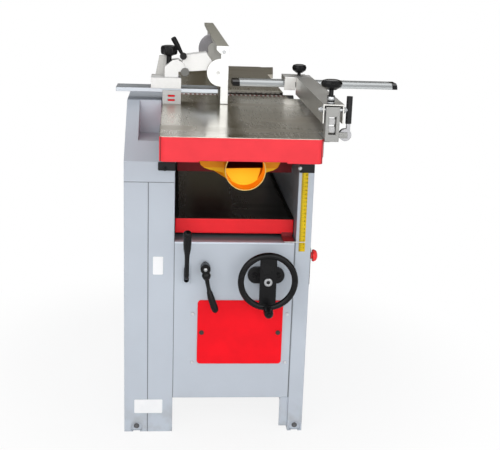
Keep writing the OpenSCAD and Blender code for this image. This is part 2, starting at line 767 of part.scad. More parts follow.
// Thicknesser table with its lifting column, screw and handwheel
module thicknesser_table() color(red) {
    difference() {
        box(th_l, th_r, -thick_front, thick_rear, th_bot, th_z);
        for (s = [0, 1]) {
            y0 = s == 0 ? -thick_front + table_wall : 75;
            y1 = s == 0 ? -75 : thick_rear - table_wall;
            box(th_l + table_wall, th_r - table_wall, y0, y1, th_bot - 1, th_z - th_skin);
        }
        for (x = strip_xs) box(x, x + strip_w, -thick_front + 4, thick_rear - 4, th_z - 3, th_z + 1);
    }
    difference() {
        bar_z(wheel_x, screw_y, th_bot - nut_len, th_z - th_skin + eps, screw_r + 8);
        bar_z(wheel_x, screw_y, th_bot - nut_len - 1, th_z - th_skin - eps, screw_r + run);
    }
}
module edge_strips() color(black) for (x = strip_xs) {
    box(x, x + strip_w, -thick_front + 4, thick_rear - 4, th_z - 3, th_z + 2);
}
module table_column() color(steel) difference() {
    bar_z(table_x, 0, guide_z0 + col_foot, th_bot, column_r);
    bar_z(table_x, 0, guide_z0 + col_foot - 1, th_bot - 10, column_r - 10);
}
module column_guide() color(iron) difference() {
    union() {
        bar_z(table_x, 0, guide_z0, guide_z1, col_guide_r);
        bar_z(table_x, 0, guide_z0, guide_z0 + 14, col_guide_r + 35);
        box(lock_x - 16, table_x, -25, 25, lock_z - 20, guide_z1);
    }
    bar_z(table_x, 0, guide_z0 - 1, guide_z1 + 1, column_r + run);
    bar_y(lock_x, -col_guide_r, col_guide_r, lock_z, lock_r + run);
    bolt_circle = col_guide_r + 20;
    for (a = [45 : 90 : 315]) {
        bar_z(table_x + bolt_circle * cos(a), bolt_circle * sin(a), guide_z0 - 1, guide_z0 + 15, 6);
    }
}
module elevation_screw() color(steel) {
    bar_z(wheel_x, screw_y, wheel_z - bracket_z - 2, th_z - th_skin - 2, screw_r);
    translate([wheel_x, screw_y, wheel_z - gear_out]) {
        cylinder(r1 = gear_out - gap, r2 = gear_in - gap, h = gear_out - gear_in);
    }
}
module screw_bracket() color(iron) difference() {
    union() {
        y0 = screw_y - bracket_y;
        z0 = wheel_z - bracket_z;
        box(wheel_x - 28, col_r, y0, screw_y + 30, z0, z0 + 20);
        box(wheel_x - 28, col_r, y0, y0 + 16, z0, wheel_z + 30);
        box(col_r - 12, col_r, y0, screw_y + 30, z0, wheel_z + 30);
    }
    bar_z(wheel_x, screw_y, wheel_z - bracket_z - 1, wheel_z - bracket_z + 21, screw_r + run);
    bar_y(wheel_x, screw_y - bracket_y - 1, screw_y - bracket_y + 17, wheel_z, shaft_r + run);
}
module handwheel_shaft() color(steel) {
    bar_y(wheel_x, -end_y - shaft_out, screw_y - gear_in - 2, wheel_z, shaft_r);
    translate([wheel_x, screw_y - gear_out, wheel_z]) rotate([-90, 0, 0]) {
        cylinder(r1 = gear_out - gap, r2 = gear_in - gap, h = gear_out - gear_in);
    }
}
module flange_bearing() color(black) difference() {
    union() {
        box(wheel_x - 26, wheel_x + 26, -end_y - 12, -end_y, wheel_z - 21, wheel_z + 21);
        for (s = [-1, 1]) bar_y(wheel_x + s * 26, -end_y - 12, -end_y, wheel_z, 21);
        bar_y(wheel_x, -end_y - 30, -end_y, wheel_z, 19);
    }
    bar_y(wheel_x, -end_y - 31, -end_y + 1, wheel_z, shaft_r + run);
    for (s = [-1, 1]) bar_y(wheel_x + s * 31, -end_y - 13, -end_y + 1, wheel_z, 4);
}
module handwheel() color(black) {
    translate([wheel_x, wheel_y, wheel_z]) rotate([90, 0, 0]) {
        rotate_extrude($fn = 64) translate([wheel_r, 0]) circle(rim_r);
    }
    difference() {
        union() {
            reach = wheel_r - 1;
            box(wheel_x - 21, wheel_x + 21, wheel_y - 3, wheel_y + 3, wheel_z - reach, wheel_z + reach);
            bar_y(wheel_x, wheel_y - 3, wheel_y + 18, wheel_z, 19);
        }
        bar_y(wheel_x, wheel_y - 11, wheel_y + 19, wheel_z, shaft_r);
    }
    bar_y(wheel_x, wheel_y - 60, wheel_y, wheel_z - wheel_r, 5);
}
module crank_grip() color(black) difference() {
    translate([wheel_x, wheel_y - rim_r - 1, wheel_z - wheel_r]) rotate([90, 0, 0]) {
        rotate_extrude() polygon([[0, 0], [8, 0], [11, 8], [12.5, 26], [11, 42], [7, 47], [0, 47]]);
    }
    bar_y(wheel_x, wheel_y - 61, wheel_y, wheel_z - wheel_r, 5 + run);
}
module lock_lever() color(black) {
    hub = [lock_x, -end_y - 30, lock_z];
    tip = hub + lock_arm;
    bar_y(lock_x, -end_y - 40, 25, lock_z, lock_r);
    bar_y(lock_x, -end_y - 44, -end_y - 14, lock_z, 13);
    strut(hub, hub + (tip - hub) * 0.55, 6.5, 4.8);
    strut(hub + (tip - hub) * 0.5, hub + (tip - hub) * 0.62, 5, 8);
    strut(hub + (tip - hub) * 0.61, tip, 8.2, 8.8);
    translate(tip) sphere(9.6);
}
module feed_lever() color(black) {
    hub = [lever_x, lever_y, lever_z];
    knee = hub + [0, -66, 4];
    neck = hub + [0, -92, 70];
    tip = hub + [0, -112, 132];
    difference() {
        union() {
            bar_x(lever_x - 8, lever_x + 8, lever_y, lever_z, 14);
            strut(hub, knee, 6, 6);
        }
        bar_x(lever_x - 9, lever_x + 9, lever_y, lever_z, lever_pin_r + run);
    }
    translate(knee) sphere(7.5);
    strut(knee, neck, 5.5, 5.5);
    strut(neck + (knee - neck) * 0.1, tip, 6.5, 10.5);
    translate(tip) sphere(11.5);
}

// Controls on the operator side and the thickness scale
module switch_plate() color(black) difference() {
    box(cab_r, cab_r + 1.5, stop_y - 20, stop_y + 20, start_z - 26, stop_z + 24);
    for (z = [start_z, stop_z]) bar_x(cab_r - 1, cab_r + 4, stop_y, z, button_r + run);
}
module stop_button() color(red) {
    bar_x(cab_r - 10, cab_r + 8, stop_y, stop_z, button_r);
    translate([cab_r + 8, stop_y, stop_z]) rotate([0, 90, 0]) {
        rotate_extrude() polygon([[0, -eps], [15, -eps], [16, 4], [13, 10], [7, 13], [0, 14]]);
    }
}
module start_button() color(green) bar_x(cab_r - 10, cab_r + 2.5, stop_y, start_z, button_r);
module thickness_scale() color(yellow) {
    box(scale_x, scale_x + scale_w, -end_y - 1, -end_y, panel_z1 - 22, col_z - 4);
}
module thickness_pointer() color(red) {
    box(th_r - 30, th_r - 2, -thick_front - 3, -thick_front, th_bot - 8, th_bot + 4);
    box(th_r - 30, th_r - 2, -end_y - 6, -thick_front, th_bot - 8, th_bot - 5);
    bar_x(th_r - 26, scale_x + scale_w, -end_y - 7, th_bot - 6.5, 1.2);
}

// Fence: bracket on the table's edge, sliding rail, carriage and tilting fence
module rail_bracket() color(alu) difference() {
    union() {
        box(tab_l, tab_l + bracket_w, rail_y0 - 8, rail_y1 - 12, table_z, rail_z - gap);
        box(tab_l, tab_l + bracket_w, rail_y0 - 8, rail_y0 - gap, table_z, rail_z + 6);
    }
    for (z = [table_z + 8, table_z + 19]) box(tab_l + 14, tab_l + 32, rail_y0 - 9, rail_y0 + 12, z, z + 5);
}
module fence_rail() color(alu) box(rail_l, rail_r, rail_y0, rail_y1, rail_z, rail_top);
module fence_carriage() color(alu) {
    y0 = fence_y0 + ear_t + gap;
    y1 = ear_y1 - ear_t - gap;
    difference() {
        union() {
            box(car_x0, car_x1, rail_y0 - 3, rail_y1 + 3, rail_top, car_top);
            along_y(knob_y - 26, knob_y + 26, [[knob_x - 11, car_top - 1], [knob_x + 25, car_top - 1],
                [knob_x + 25, car_top + 14], [knob_x + 38, car_top + 17], [knob_x + 44, car_top + 24],
                [knob_x + 38, car_top + 36], [knob_x + 24, car_top + 46], [knob_x + 9, car_top + 44],
                [knob_x - 11, car_top + 26]]);
            bar_y(knob_x + 42, knob_y - 31, knob_y - 20, car_top + 14, 11);
            along_y(knob_y + 26 - eps, knob_y + 32, [[car_x0 + 10, car_top - 1], [knob_x + 6, car_top - 1],
                [knob_x - 4, tower_top + 18], [car_x0 + 20, tower_top + 18]]);
            along_y(y0, y1, [[arm_x0 - 12, tower_top - 20], [arm_x1, tower_top - 14],
                [tilt_x, tilt_z - lug_r], [tilt_x, tilt_z + lug_r], [arm_x1, tower_top + 32],
                [arm_x0, tower_top + 24]]);
            bar_y(tilt_x, y0, y1, tilt_z, lug_r);
        }
        bar_z(knob_x, knob_y, tower_top - 30, tower_top + 20, 7 + run);
        bar_y(clamp_x, y0 - 1, y0 + 20, clamp_z, 4 + run);
    }
    bar_y(tilt_x, fence_y0 + 2, ear_y1 - 1, tilt_z, tilt_pin_r);
}
module fence() color(alu) difference() {
    union() {
        difference() {
            along_y(fence_y0, fence_y0 + fence_len, [[fx - fence_web, fence_z0], [fx, fence_z0],
                [fx, fence_top], [fx - flange_w, fence_top], [fx - flange_w, fence_top - flange_t + 4],
                [fx - fence_web - 4, fence_top - flange_t - 4], [fx - fence_web, fence_top - flange_t - 6]]);
            for (i = [0 : 2]) {
                cell = (fence_h - flange_t - 8) / 3;
                z = fence_z0 + 4 + i * cell;
                box(fx - fence_web + 4, fx - 4, fence_y0 + 8, fence_y0 + fence_len + 1, z, z + cell - 4);
            }
        }
        intersection() {
            bar_y(fx - fence_web, fence_y0, fence_y0 + ear_t, tilt_z, disc_r);
            box(fx - 200, fx - 1, fence_y0 - 1, 0, table_z, fence_top);
        }
        bar_y(tilt_x, ear_y1 - ear_t, ear_y1, tilt_z, lug_r);
        box(tilt_x, fx - fence_web + 1, ear_y1 - ear_t, ear_y1, tilt_z - lug_r, tilt_z + lug_r);
        intersection() {
            difference() {
                bar_y(fx - fence_web, arc_y, arc_y + arc_t, fence_top - arc_r - 1, arc_r);
                bar_y(fx - fence_web, arc_y - 1, arc_y + arc_t + 1, fence_top - arc_r - 1, arc_in);
            }
            box(fx - 100, fx - fence_web + 1, arc_y - 1, arc_y + arc_t + 1, fence_top - arc_r - 1, fence_top);
        }
    }
    bar_y(tilt_x, fence_y0 - 1, ear_y1 + 1, tilt_z, tilt_pin_r + run);
}
module star_knob(r, h) {
    cylinder(r = r * 0.72, h = h);
    for (a = [0 : 60 : 300]) {
        translate([r * 0.66 * cos(a), r * 0.66 * sin(a), 0]) cylinder(r = r * 0.34, h = h);
    }
}
module fence_knob() color(black) {
    bar_z(knob_x, knob_y, tower_top - 28, tower_top + 22, 7);
    translate([knob_x, knob_y, tower_top + 20]) star_knob(22, 28);
}
module fence_clamp_lever() color(black) {
    y = fence_y0 + ear_t + gap;
    hub = [clamp_x, y - 8, clamp_z];
    bar_y(clamp_x, y - 15, y - gap, clamp_z, 9);
    bar_y(clamp_x, y - 15, y + 18, clamp_z, 4);
    translate(hub) rotate([0, -30, 0]) cylinder(r1 = 4.5, r2 = 6.5, h = 54);
}

// Bridge guard at the outfeed table's corner
module guard_frame() translate(piv) rotate([0, 0, -arm_skew]) children();
module guard_bracket() color(alu) difference() {
    union() {
        box(tab_r, tab_r + 6, piv[1] + post_y + 11, piv[1] + 90, table_bot + 8, table_z - 2);
        box(tab_r + 1, tab_r + 14, piv[1], piv[1] + 90, table_z - 8, table_z - 2);
        box(post_x0, post_x1, piv[1] - post_y, piv[1] + post_y, table_z - 5, piv[2] + arm_top - arm_t - 2);
        for (y = [piv[1] - 10.5, piv[1] + 7.5]) box(post_x1 - eps, cam_x + 4, y, y + 3, cam_z - 6, cam_z + 6);
        bar_y(cam_x, piv[1] - 10.5, piv[1] + 10.5, cam_z, cam_pin_r);
    }
    box(post_x0 + 7, post_x1 - 7, piv[1] - post_y - 1, piv[1] + post_y + 1, table_z + 10, piv[2] - 14);
    guard_frame() bar_x(-arm_w, arm_w, 0, 0, piv_r);
}
module guard_arm() color(alu) difference() {
    union() {
        guard_frame() rotate([-arm_drop, 0, 0]) {
            box(-arm_w / 2, arm_w / 2, -9, arm_len, arm_top - arm_t, arm_top);
            for (x = [-arm_w / 2, arm_w / 2 - arm_t]) {
                along_x(x, x + arm_t, [[-9, -arm_deep], [arm_len - arm_open, -arm_deep - arm_grow],
                    [arm_len - arm_open, arm_top], [-9, arm_top]]);
            }
        }
        box(holder_x - holder_l, holder_x + holder_r, hold_y - hold_t, 36, beam_top + gap, beam_top + 14);
        box(holder_x - holder_l, holder_x - 16, hold_y - hold_t, hold_y, beam_z - 7, beam_top + 14);
        box(holder_x - 24, holder_x + 24, -5 + gap, 5 - gap, beam_top - 5, beam_top + 2);
        box(holder_x - 24, holder_x + 24, -10 + gap, 10 - gap, beam_top - 10 + gap, beam_top - 4 - gap);
    }
    guard_frame() rotate([-arm_drop, 0, 0]) {
        bar_x(-arm_w, arm_w, 0, 0, piv_r + run);
        bar_z(knob_side, 0, 0, arm_top + 1, 5 + run);
    }
    bar_z(holder_x, 0, beam_top + 6, beam_top + 60, 5 + run);
}
module turned_knob(r, h) rotate_extrude() {
    polygon([[0, 0], [r * 0.45, 0], [r * 0.9, h * 0.3], [r, h * 0.6], [r * 0.86, h * 0.9], [r * 0.5, h],
        [0, h]]);
}
module guard_height_knob() color(black) guard_frame() rotate([-arm_drop, 0, 0]) {
    bar_z(knob_side, 0, arm_top - arm_t, 44, 5);
    bar_z(knob_side, 0, arm_top + gap, 30, 8);
    translate([knob_side, 0, 42]) turned_knob(23, 22);
}
module beam_knob() color(black) {
    bar_z(holder_x, 0, beam_top + 7, beam_top + 30, 5);
    translate([holder_x, 0, beam_top + 22]) turned_knob(21, 24);
}
module beam_outline(g) {
    w = beam_w / 2 + g;
    a = beam_z + beam_t * 0.35;
    b = beam_z + beam_t * 0.72;
    polygon([[-w, beam_z], [-w, a], [-w + 6, b], [-w + 18, beam_top], [w - 18, beam_top], [w - 6, b], [w, a],
        [w, beam_z]]);
}
module guard_beam() color(alu) translate([beam_x0 + cap_l, 0, 0]) rotate([90, 0, 90]) {
    linear_extrude(beam_len - cap_l - cap_r) difference() {
        beam_outline(0);
        translate([-5, beam_top - 4.5]) square([10, 5]);
        translate([-10, beam_top - 10]) square([20, 6]);
        for (y = [-beam_w / 2 + 8, 14]) translate([y, beam_z + 3]) square([beam_w / 2 - 22, beam_t - 10]);
    }
}
module guard_end_caps() color(black) for (c = [[beam_x0, cap_l], [beam_x0 + beam_len - cap_r, cap_r]]) {
    translate([c[0], 0, 0]) rotate([90, 0, 90]) linear_extrude(c[1]) beam_outline(0.5);
}
module cam_lever() color(black) difference() {
    union() {
        bar_y(cam_x, piv[1] - 7, piv[1] + 7, cam_z, 13);
        box(cam_x + 2, cam_x + 10, piv[1] - 4, piv[1] + 4, cam_z, cam_z + 27);
        bar_z(cam_x + 6, piv[1], cam_z + 24, cam_z + 82, 6.5);
    }
    bar_y(cam_x, piv[1] - 8, piv[1] + 8, cam_z, cam_pin_r + run);
}

drive_cabinet();
drive_side_cover();
operator_column();
front_panel();
rear_panel();
access_plate();
panel_fasteners();
levelling_bolts();
base_shelf();
head_castings();
table_supports();
pivot_pins();
outfeed_table();
infeed_table();
outfeed_lip();
infeed_lip();
cutterblock();
knives();
cutter_bearings();
cutter_pulley();
motor();
motor_foot();
motor_pulley();
drive_belt();
thicknesser_infeed_roller();
thicknesser_outfeed_roller();
feed_chain();
feed_gearbox();
kickback_fingers();
dust_hood();
chip_chute();
thicknesser_table();
edge_strips();
table_column();
column_guide();
elevation_screw();
screw_bracket();
handwheel_shaft();
flange_bearing();
handwheel();
crank_grip();
lock_lever();
feed_lever();
switch_plate();
stop_button();
start_button();
thickness_scale();
thickness_pointer();
rail_bracket();
fence_rail();
fence_carriage();
fence();
fence_knob();
fence_clamp_lever();
guard_bracket();
guard_arm();
guard_height_knob();
beam_knob();
guard_beam();
guard_end_caps();
cam_lever();
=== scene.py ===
# %% [markdown]
# # Dressing a planer thicknesser
# The solids of the machine come ready packed, each on the body that moves it. This lesson
# loads them, gives every surface its finish, adds the small pieces that a solid model leaves
# out, and puts softer shapes in place of four plain solids.
# Everything is in metres, in the solids' own frame: +X is the operator's side, +Y runs along
# the tables away from the camera, +Z is up.

# %% Load the imported solids
import json
import math
import bpy
import numpy as np
from mathutils import Matrix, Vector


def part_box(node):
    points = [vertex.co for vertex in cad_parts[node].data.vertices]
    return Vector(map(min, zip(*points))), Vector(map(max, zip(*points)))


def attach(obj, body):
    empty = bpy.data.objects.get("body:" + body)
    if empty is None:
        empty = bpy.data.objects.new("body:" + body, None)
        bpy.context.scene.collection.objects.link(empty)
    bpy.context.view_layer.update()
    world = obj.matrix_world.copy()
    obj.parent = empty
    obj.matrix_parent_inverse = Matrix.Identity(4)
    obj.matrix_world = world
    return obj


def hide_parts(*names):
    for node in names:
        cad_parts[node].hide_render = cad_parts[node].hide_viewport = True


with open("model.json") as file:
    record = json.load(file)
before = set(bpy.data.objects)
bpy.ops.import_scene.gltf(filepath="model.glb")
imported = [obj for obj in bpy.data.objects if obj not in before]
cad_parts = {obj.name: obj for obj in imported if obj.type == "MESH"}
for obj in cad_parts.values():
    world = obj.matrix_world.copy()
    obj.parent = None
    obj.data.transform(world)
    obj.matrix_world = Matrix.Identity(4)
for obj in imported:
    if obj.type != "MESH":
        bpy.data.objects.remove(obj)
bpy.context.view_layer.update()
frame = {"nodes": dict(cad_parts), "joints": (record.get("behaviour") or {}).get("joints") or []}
nodes = frame["nodes"]

# %% [markdown]
# ## The camera
# The photograph's camera was worked out from the machine's straight edges: where it stood, how
# far it looked down, and a small roll. A camera's own axes are the columns of a turning
# matrix, so they are built from the three angles here rather than by trial.

# %% Stand the camera where the photograph was taken
PLACE = (-0.12008, -2.70341, 1.18876)
YAW, PITCH, ROLL = 0.0850456, 0.2647328, 0.0338964
FOCAL_PX, WIDTH_PX, SENSOR_MM = 933.26, 500, 36.0

right = np.array([math.cos(YAW), -math.sin(YAW), 0.0])
ahead = np.array([math.cos(PITCH) * math.sin(YAW), math.cos(PITCH) * math.cos(YAW), -math.sin(PITCH)])
above = np.cross(right, ahead)
turn = np.eye(4)
turn[:3, 0] = math.cos(ROLL) * right + math.sin(ROLL) * above
turn[:3, 1] = math.cos(ROLL) * above - math.sin(ROLL) * right
turn[:3, 2] = -ahead
turn[:3, 3] = PLACE

scene = bpy.context.scene
camera = bpy.data.objects.new("photo_camera", bpy.data.cameras.new("photo_camera"))
camera.data.sensor_width = SENSOR_MM
camera.data.lens = FOCAL_PX * SENSOR_MM / WIDTH_PX
camera.matrix_world = Matrix(turn.tolist())
scene.collection.objects.link(camera)
scene.camera = camera
scene.view_settings.view_transform = "Standard"
print("lens", round(camera.data.lens, 2), "mm")

# %% [markdown]
# ## Shader maths as Python
# A finish is a small graph of nodes. Wiring it by hand is slow to read, so one class wraps an
# output socket and turns + - * / into Math nodes, and one method of a `Graph` makes any other
# node. A `Finish` is the graph of a material with a single Principled shader; numbers that are
# the same all over go straight on its sockets, and only what changes over the surface is linked.

# %% The socket wrapper
class Sock:
    """An output socket of a graph; arithmetic on it adds Math nodes."""

    def __init__(self, graph, socket):
        self.graph, self.socket = graph, socket

    def math(self, operation, first, second=0.0):
        """One Math node."""
        return self.graph.node("Math", {"operation": operation}, {0: first, 1: second})

    def __abs__(self):
        return self.math("ABSOLUTE", self)

    def rise(self, low, high):
        """0 below low, 1 above high, and a smooth step between them."""
        inputs = {"Value": self, "From Min": low, "From Max": high}
        return self.graph.node("MapRange", {"interpolation_type": "SMOOTHSTEP"}, inputs)

    def fall(self, low, high):
        """1 below low, 0 above high, and a smooth step between them."""
        return 1.0 - self.rise(low, high)

    def within(self, low, high, soft=0.0002):
        """1 between low and high, falling to 0 over soft outside them."""
        return self.rise(low - soft, low) * self.fall(high, high + soft)

    def reach(self, other):
        """The distance from an axis, given the two offsets from it."""
        return self.math("SQRT", self * self + other * other)


def operators(operation):
    """The two forms of an operator, for a Sock on its left and on its right."""
    return (lambda self, other: self.math(operation, self, other),
            lambda self, other: self.math(operation, other, self))


SIGNS = {"add": "ADD", "sub": "SUBTRACT", "mul": "MULTIPLY", "truediv": "DIVIDE"}
for sign, operation in SIGNS.items():
    for form, method in zip(("__%s__", "__r%s__"), operators(operation)):
        setattr(Sock, form % sign, method)
print("socket maths:", list(SIGNS))


# %% The graph and the finish
class Graph:
    """A tree of nodes, of a material or of the world."""

    def __init__(self, tree):
        self.tree = tree

    def put(self, socket, value):
        """Links a Sock to an input, or sets its number or colour."""
        if isinstance(value, Sock):
            self.tree.links.new(value.socket, socket)
        else:
            socket.default_value = (*value, 1) if socket.type == "RGBA" else value

    def node(self, kind, settings, sockets, out=0):
        """Any node: its settings first, then its sockets' values or links."""
        made = self.tree.nodes.new("ShaderNode" + kind)
        for key, value in settings.items():
            setattr(made, key, value)
        for key, value in sockets.items():
            self.put(made.inputs[key], value)
        return Sock(self, made.outputs[out])

    def seen(self):
        """1 for rays from the eye, from mirrors and through glass."""
        kinds = ("Camera", "Glossy", "Transmission")
        eye, mirror, glass = (self.node("LightPath", {}, {}, f"Is {kind} Ray") for kind in kinds)
        return eye + mirror + glass


class Finish(Graph):
    """A material with one Principled shader; place, x, y and z are Object coordinates."""

    def __init__(self, name, **constants):
        self.material = bpy.data.materials.new(name)
        self.material.use_nodes = True
        super().__init__(self.material.node_tree)
        self.shader = self.tree.nodes["Principled BSDF"]
        self.place = self.node("TexCoord", {}, {}, "Object")
        split = self.node("SeparateXYZ", {}, {0: self.place}).socket.node
        self.x, self.y, self.z = (Sock(self, socket) for socket in split.outputs)
        self.set(**constants)

    def set(self, **sockets):
        """Links or sets sockets of the shader; base_color stands for Base Color."""
        for key, value in sockets.items():
            words = ["IOR" if w == "ior" else w.capitalize() for w in key.split("_")]
            self.put(self.shader.inputs[" ".join(words)], value)
        return self

    def noise(self, scale, detail=3.0, stretch=(1, 1, 1)):
        """Noise from 0 to 1 with this many cells a metre; stretch squeezes it along each axis."""
        where = self.node("Mapping", {}, {"Vector": self.place, "Scale": stretch})
        return self.node("TexNoise", {}, {"Vector": where, "Scale": scale, "Detail": detail})

    def blend(self, share, first, second):
        """A colour between two: share 0 gives the first."""
        return self.node("Mix", {"data_type": "RGBA"}, {0: share, 6: first, 7: second}, 2)

    def dress(self, height, depth, soften, **sockets):
        """Sets sockets, with bump of this depth in metres; soften rounds sharp edges in shading."""
        rounded = self.node("Bevel", {"samples": 6}, {"Radius": soften})
        inputs = {"Height": height, "Strength": 1.0, "Distance": depth, "Normal": rounded}
        return self.set(normal=self.node("Bump", {}, inputs), **sockets)


def paint_on(finish, *names):
    """Gives solids this finish in every material slot."""
    for name in names:
        mesh = nodes[name].data
        mesh.materials.clear()
        mesh.materials.append(finish.material)
    print(finish.material.name, "on", len(names))


# %% [markdown]
# ## Studio light
# The photograph has a white surround, bright fronts and deep shade inside the machine. So the
# world itself is dim and five broad lamps do the work: one high on the left, one on the right,
# one behind the camera that reaches in under the table, one overhead, and one at the back for
# the far sides. That last one is hidden from mirror rays, which would show it on the tables.
# Eye, mirror and glass rays see the world as plain white, at a strength of 1.

# %% World
DIM_TINT, DIM, WHITE = (0.97, 0.98, 1.0), 0.15, (1, 1, 1)
scene.world = bpy.data.worlds.new("studio")
scene.world.use_nodes = True
sky = Graph(scene.world.node_tree)
sky.tree.nodes.remove(sky.tree.nodes["Background"])
glow = sky.node("Background", {}, {"Color": DIM_TINT, "Strength": DIM})
white = sky.node("Background", {}, {"Color": WHITE, "Strength": 1.0})
surround = sky.node("MixShader", {}, {0: sky.seen(), 1: glow, 2: white})
sky.put(sky.tree.nodes["World Output"].inputs[0], surround)
print("world light", DIM)


# %% Lamps
def lamp(name, place, aim, size, watts):
    """A square area lamp at place that faces aim; it lights the scene and isn't seen itself."""
    made = bpy.data.objects.new(name, bpy.data.lights.new(name, "AREA"))
    made.data.size, made.data.energy = size, watts
    away = np.subtract(place, aim) / np.linalg.norm(np.subtract(place, aim))
    side = np.cross((0, 0, 1.0), away)
    side /= np.linalg.norm(side)
    pose = np.eye(4)
    pose[:3, 0], pose[:3, 1], pose[:3, 2], pose[:3, 3] = side, np.cross(away, side), away, place
    made.matrix_world = Matrix(pose.tolist())
    made.visible_camera = False
    scene.collection.objects.link(made)
    return made


BODY, TOPS = (0, 0, 0.6), (0, 0, 0.8)
LAMPS = {"key_lamp": ((-2.2, -2.9, 2.6), BODY, 3.0, 56), "fill_lamp": ((2.3, -3.2, 1.9), BODY, 2.8, 38),
         "port_lamp": ((0.1, -3.9, 1.5), BODY, 2.6, 50), "top_lamp": ((0.2, 1.2, 3.2), TOPS, 2.2, 22),
         "rear_lamp": ((-0.5, 4.0, 2.0), BODY, 3.0, 44)}
lamps = {name: lamp(name, *facts) for name, facts in LAMPS.items()}
lamps["rear_lamp"].visible_glossy = False
print("lamps:", list(lamps))

# %% [markdown]
# ## Painted sheet
# The cabinet is folded sheet steel with a semi-gloss blue-grey paint. Sprayed paint has a
# fine orange-peel skin, it is a little uneven from panel to panel, and it gathers dust near the
# floor, so those three are noise on bump, colour and roughness. Seams between two sheets are
# narrow dark grooves: a mask of a few lines of arithmetic draws them, which is lighter than
# cutting them into the mesh. Other masks paint shade on what lies in shadow near the work, and
# paint a highlight along the fold of the front panel's top.

# %% Cabinet paint
CABINET_GREY, FLOOR_DUST, GROOVE_DARK = (0.515, 0.565, 0.631), (0.30, 0.29, 0.27), (0.10, 0.11, 0.12)
DUST_TOP, SHEET_FOLD = 0.14, 0.0035


def times(share, colour):
    """The colour made darker or paler, with no channel past 1."""
    return tuple(min(1.0, share * c) for c in colour)


def sheet_paint(name, colour, seam=None, shade=None, painted_highlight=None):
    """Colour mottled by slow noise and dulled near the floor; the masks give grooves, painted shade
    and a painted highlight."""
    skin = Finish(name, specular_ior_level=0.4)
    slow, fine = skin.noise(5.0, 5.0), skin.noise(420.0, 2.0)
    low = skin.z.fall(0.0, DUST_TOP) * skin.noise(24.0, 6.0).rise(0.4, 0.75) * 0.45
    body = skin.blend(slow.rise(0.3, 0.7), colour, times(0.95, colour))
    body = skin.blend(low, body, FLOOR_DUST)
    height = fine * 0.3
    # painted shade: the colour is darkened where the shade mask is set
    if shade:
        body = skin.blend(shade(skin), body, times(0.32, colour))
    # painted highlight: the colour is made paler along the highlight mask
    if painted_highlight:
        body = skin.blend(painted_highlight(skin), body, times(1.5, colour))
    if seam:
        groove = seam(skin)
        body = skin.blend(groove * 0.8, body, GROOVE_DARK)
        height = height + (1.0 - groove) * 6.0
    return skin.dress(height, 0.0002 if seam else 0.0001, SHEET_FOLD,
                      base_color=body, roughness=0.36 + 0.12 * slow + 0.3 * low)


# %% Seams, painted shade and painted highlight
PANEL_LOW, PANEL_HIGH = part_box("front_panel")
COLUMN_LOW, COLUMN_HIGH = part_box("operator_column")
FRONT, PASSAGE_FLOOR = PANEL_LOW.y, 0.50
COVER_EDGE, COVER_TOP, COVER_END = -0.1825, 0.679, -0.1185


def about(middle, half):
    """The two ends of a span that reaches half to each side of its middle."""
    return middle - half, middle + half


def cover_seam(skin):
    """The edge of the belt cover: a vertical line on the front and a level one above it."""
    x, y, z = skin.x, skin.y, skin.z
    upright = x.within(*about(COVER_EDGE, 0.001)) * z.fall(*about(COVER_TOP, 0.001))
    level = z.within(*about(COVER_TOP, 0.0005)) * x.fall(*about(COVER_END, 0.0005))
    return y.fall(FRONT + 0.001, FRONT + 0.002) * (1.0 - (1.0 - upright) * (1.0 - level))


def panel_seam(skin):
    """The panel's side edges: 1.4 mm on the left and 3.4 mm on the right."""
    return 1.0 - skin.x.within(PANEL_LOW.x + 0.0014, PANEL_HIGH.x - 0.0034, 0.0004)


def sill_grime(skin):
    """The top of the front panel behind its folded edge, darkened as painted shade under the thicknesser
    table.
    """
    top = skin.z.rise(PANEL_HIGH.z - 0.0008, PANEL_HIGH.z - 0.0003)
    return top * skin.y.rise(FRONT + 0.004, FRONT + 0.030)


def fold_edge(skin):
    """The fold along the top of the front panel, made paler as a painted highlight where light catches it."""
    fold = skin.z.rise(PANEL_HIGH.z - 0.0045, PANEL_HIGH.z - 0.0025)
    return fold * skin.y.fall(FRONT + 0.003, FRONT + 0.005) * 0.9


def column_seam(skin):
    """A fold line 2.5 mm wide on the column's outer side, 45 mm inside its edges."""
    y, z = skin.y, skin.z

    def inset(margin):
        wide = y.within(COLUMN_LOW.y + margin, COLUMN_HIGH.y - margin)
        return wide * z.within(0.030 + margin, COLUMN_HIGH.z - margin)

    outer = skin.x.rise(COLUMN_HIGH.x - 0.0015, COLUMN_HIGH.x - 0.0010)
    return outer * inset(0.045) * (1.0 - inset(0.0475))


def passage_grime(skin):
    """The column's inner face beside the work, darkened as painted shade."""
    inner = skin.x.fall(COLUMN_LOW.x + 0.0005, COLUMN_LOW.x + 0.0010)
    return inner * skin.z.rise(PASSAGE_FLOOR, PASSAGE_FLOOR + 0.06) * 0.75


cabinet_paint = sheet_paint("cabinet_paint", CABINET_GREY)
paint_on(cabinet_paint, "drive_side_cover", "rear_panel", "base_shelf")
paint_on(sheet_paint("column_paint", CABINET_GREY, column_seam, passage_grime), "operator_column")
paint_on(sheet_paint("belt_cover_paint", CABINET_GREY, cover_seam), "drive_cabinet")
paint_on(sheet_paint("panel_paint", CABINET_GREY, panel_seam, sill_grime, fold_edge), "front_panel")

# %% [markdown]
# ## Red paint and cast tables
# The castings are filled, sprayed red, and then their tops are ground bare. One material
# does both: above a line just under the top the red gives way to iron, so the ground edge
# shows as a thin bright line, as it does on the real casting. Grinding runs along the feed,
# so the scratches are noise drawn out along Y, and old oil has left slow darker patches.
# Boards have polished a strip along the middle, and a painted sheen makes it brighter still.
# Inside the cutter's mouth the bare casting is dark, and under the tables the red is darkened as
# painted shade. The thicknesser's bed iron is near black: partly oil, mostly painted shade.

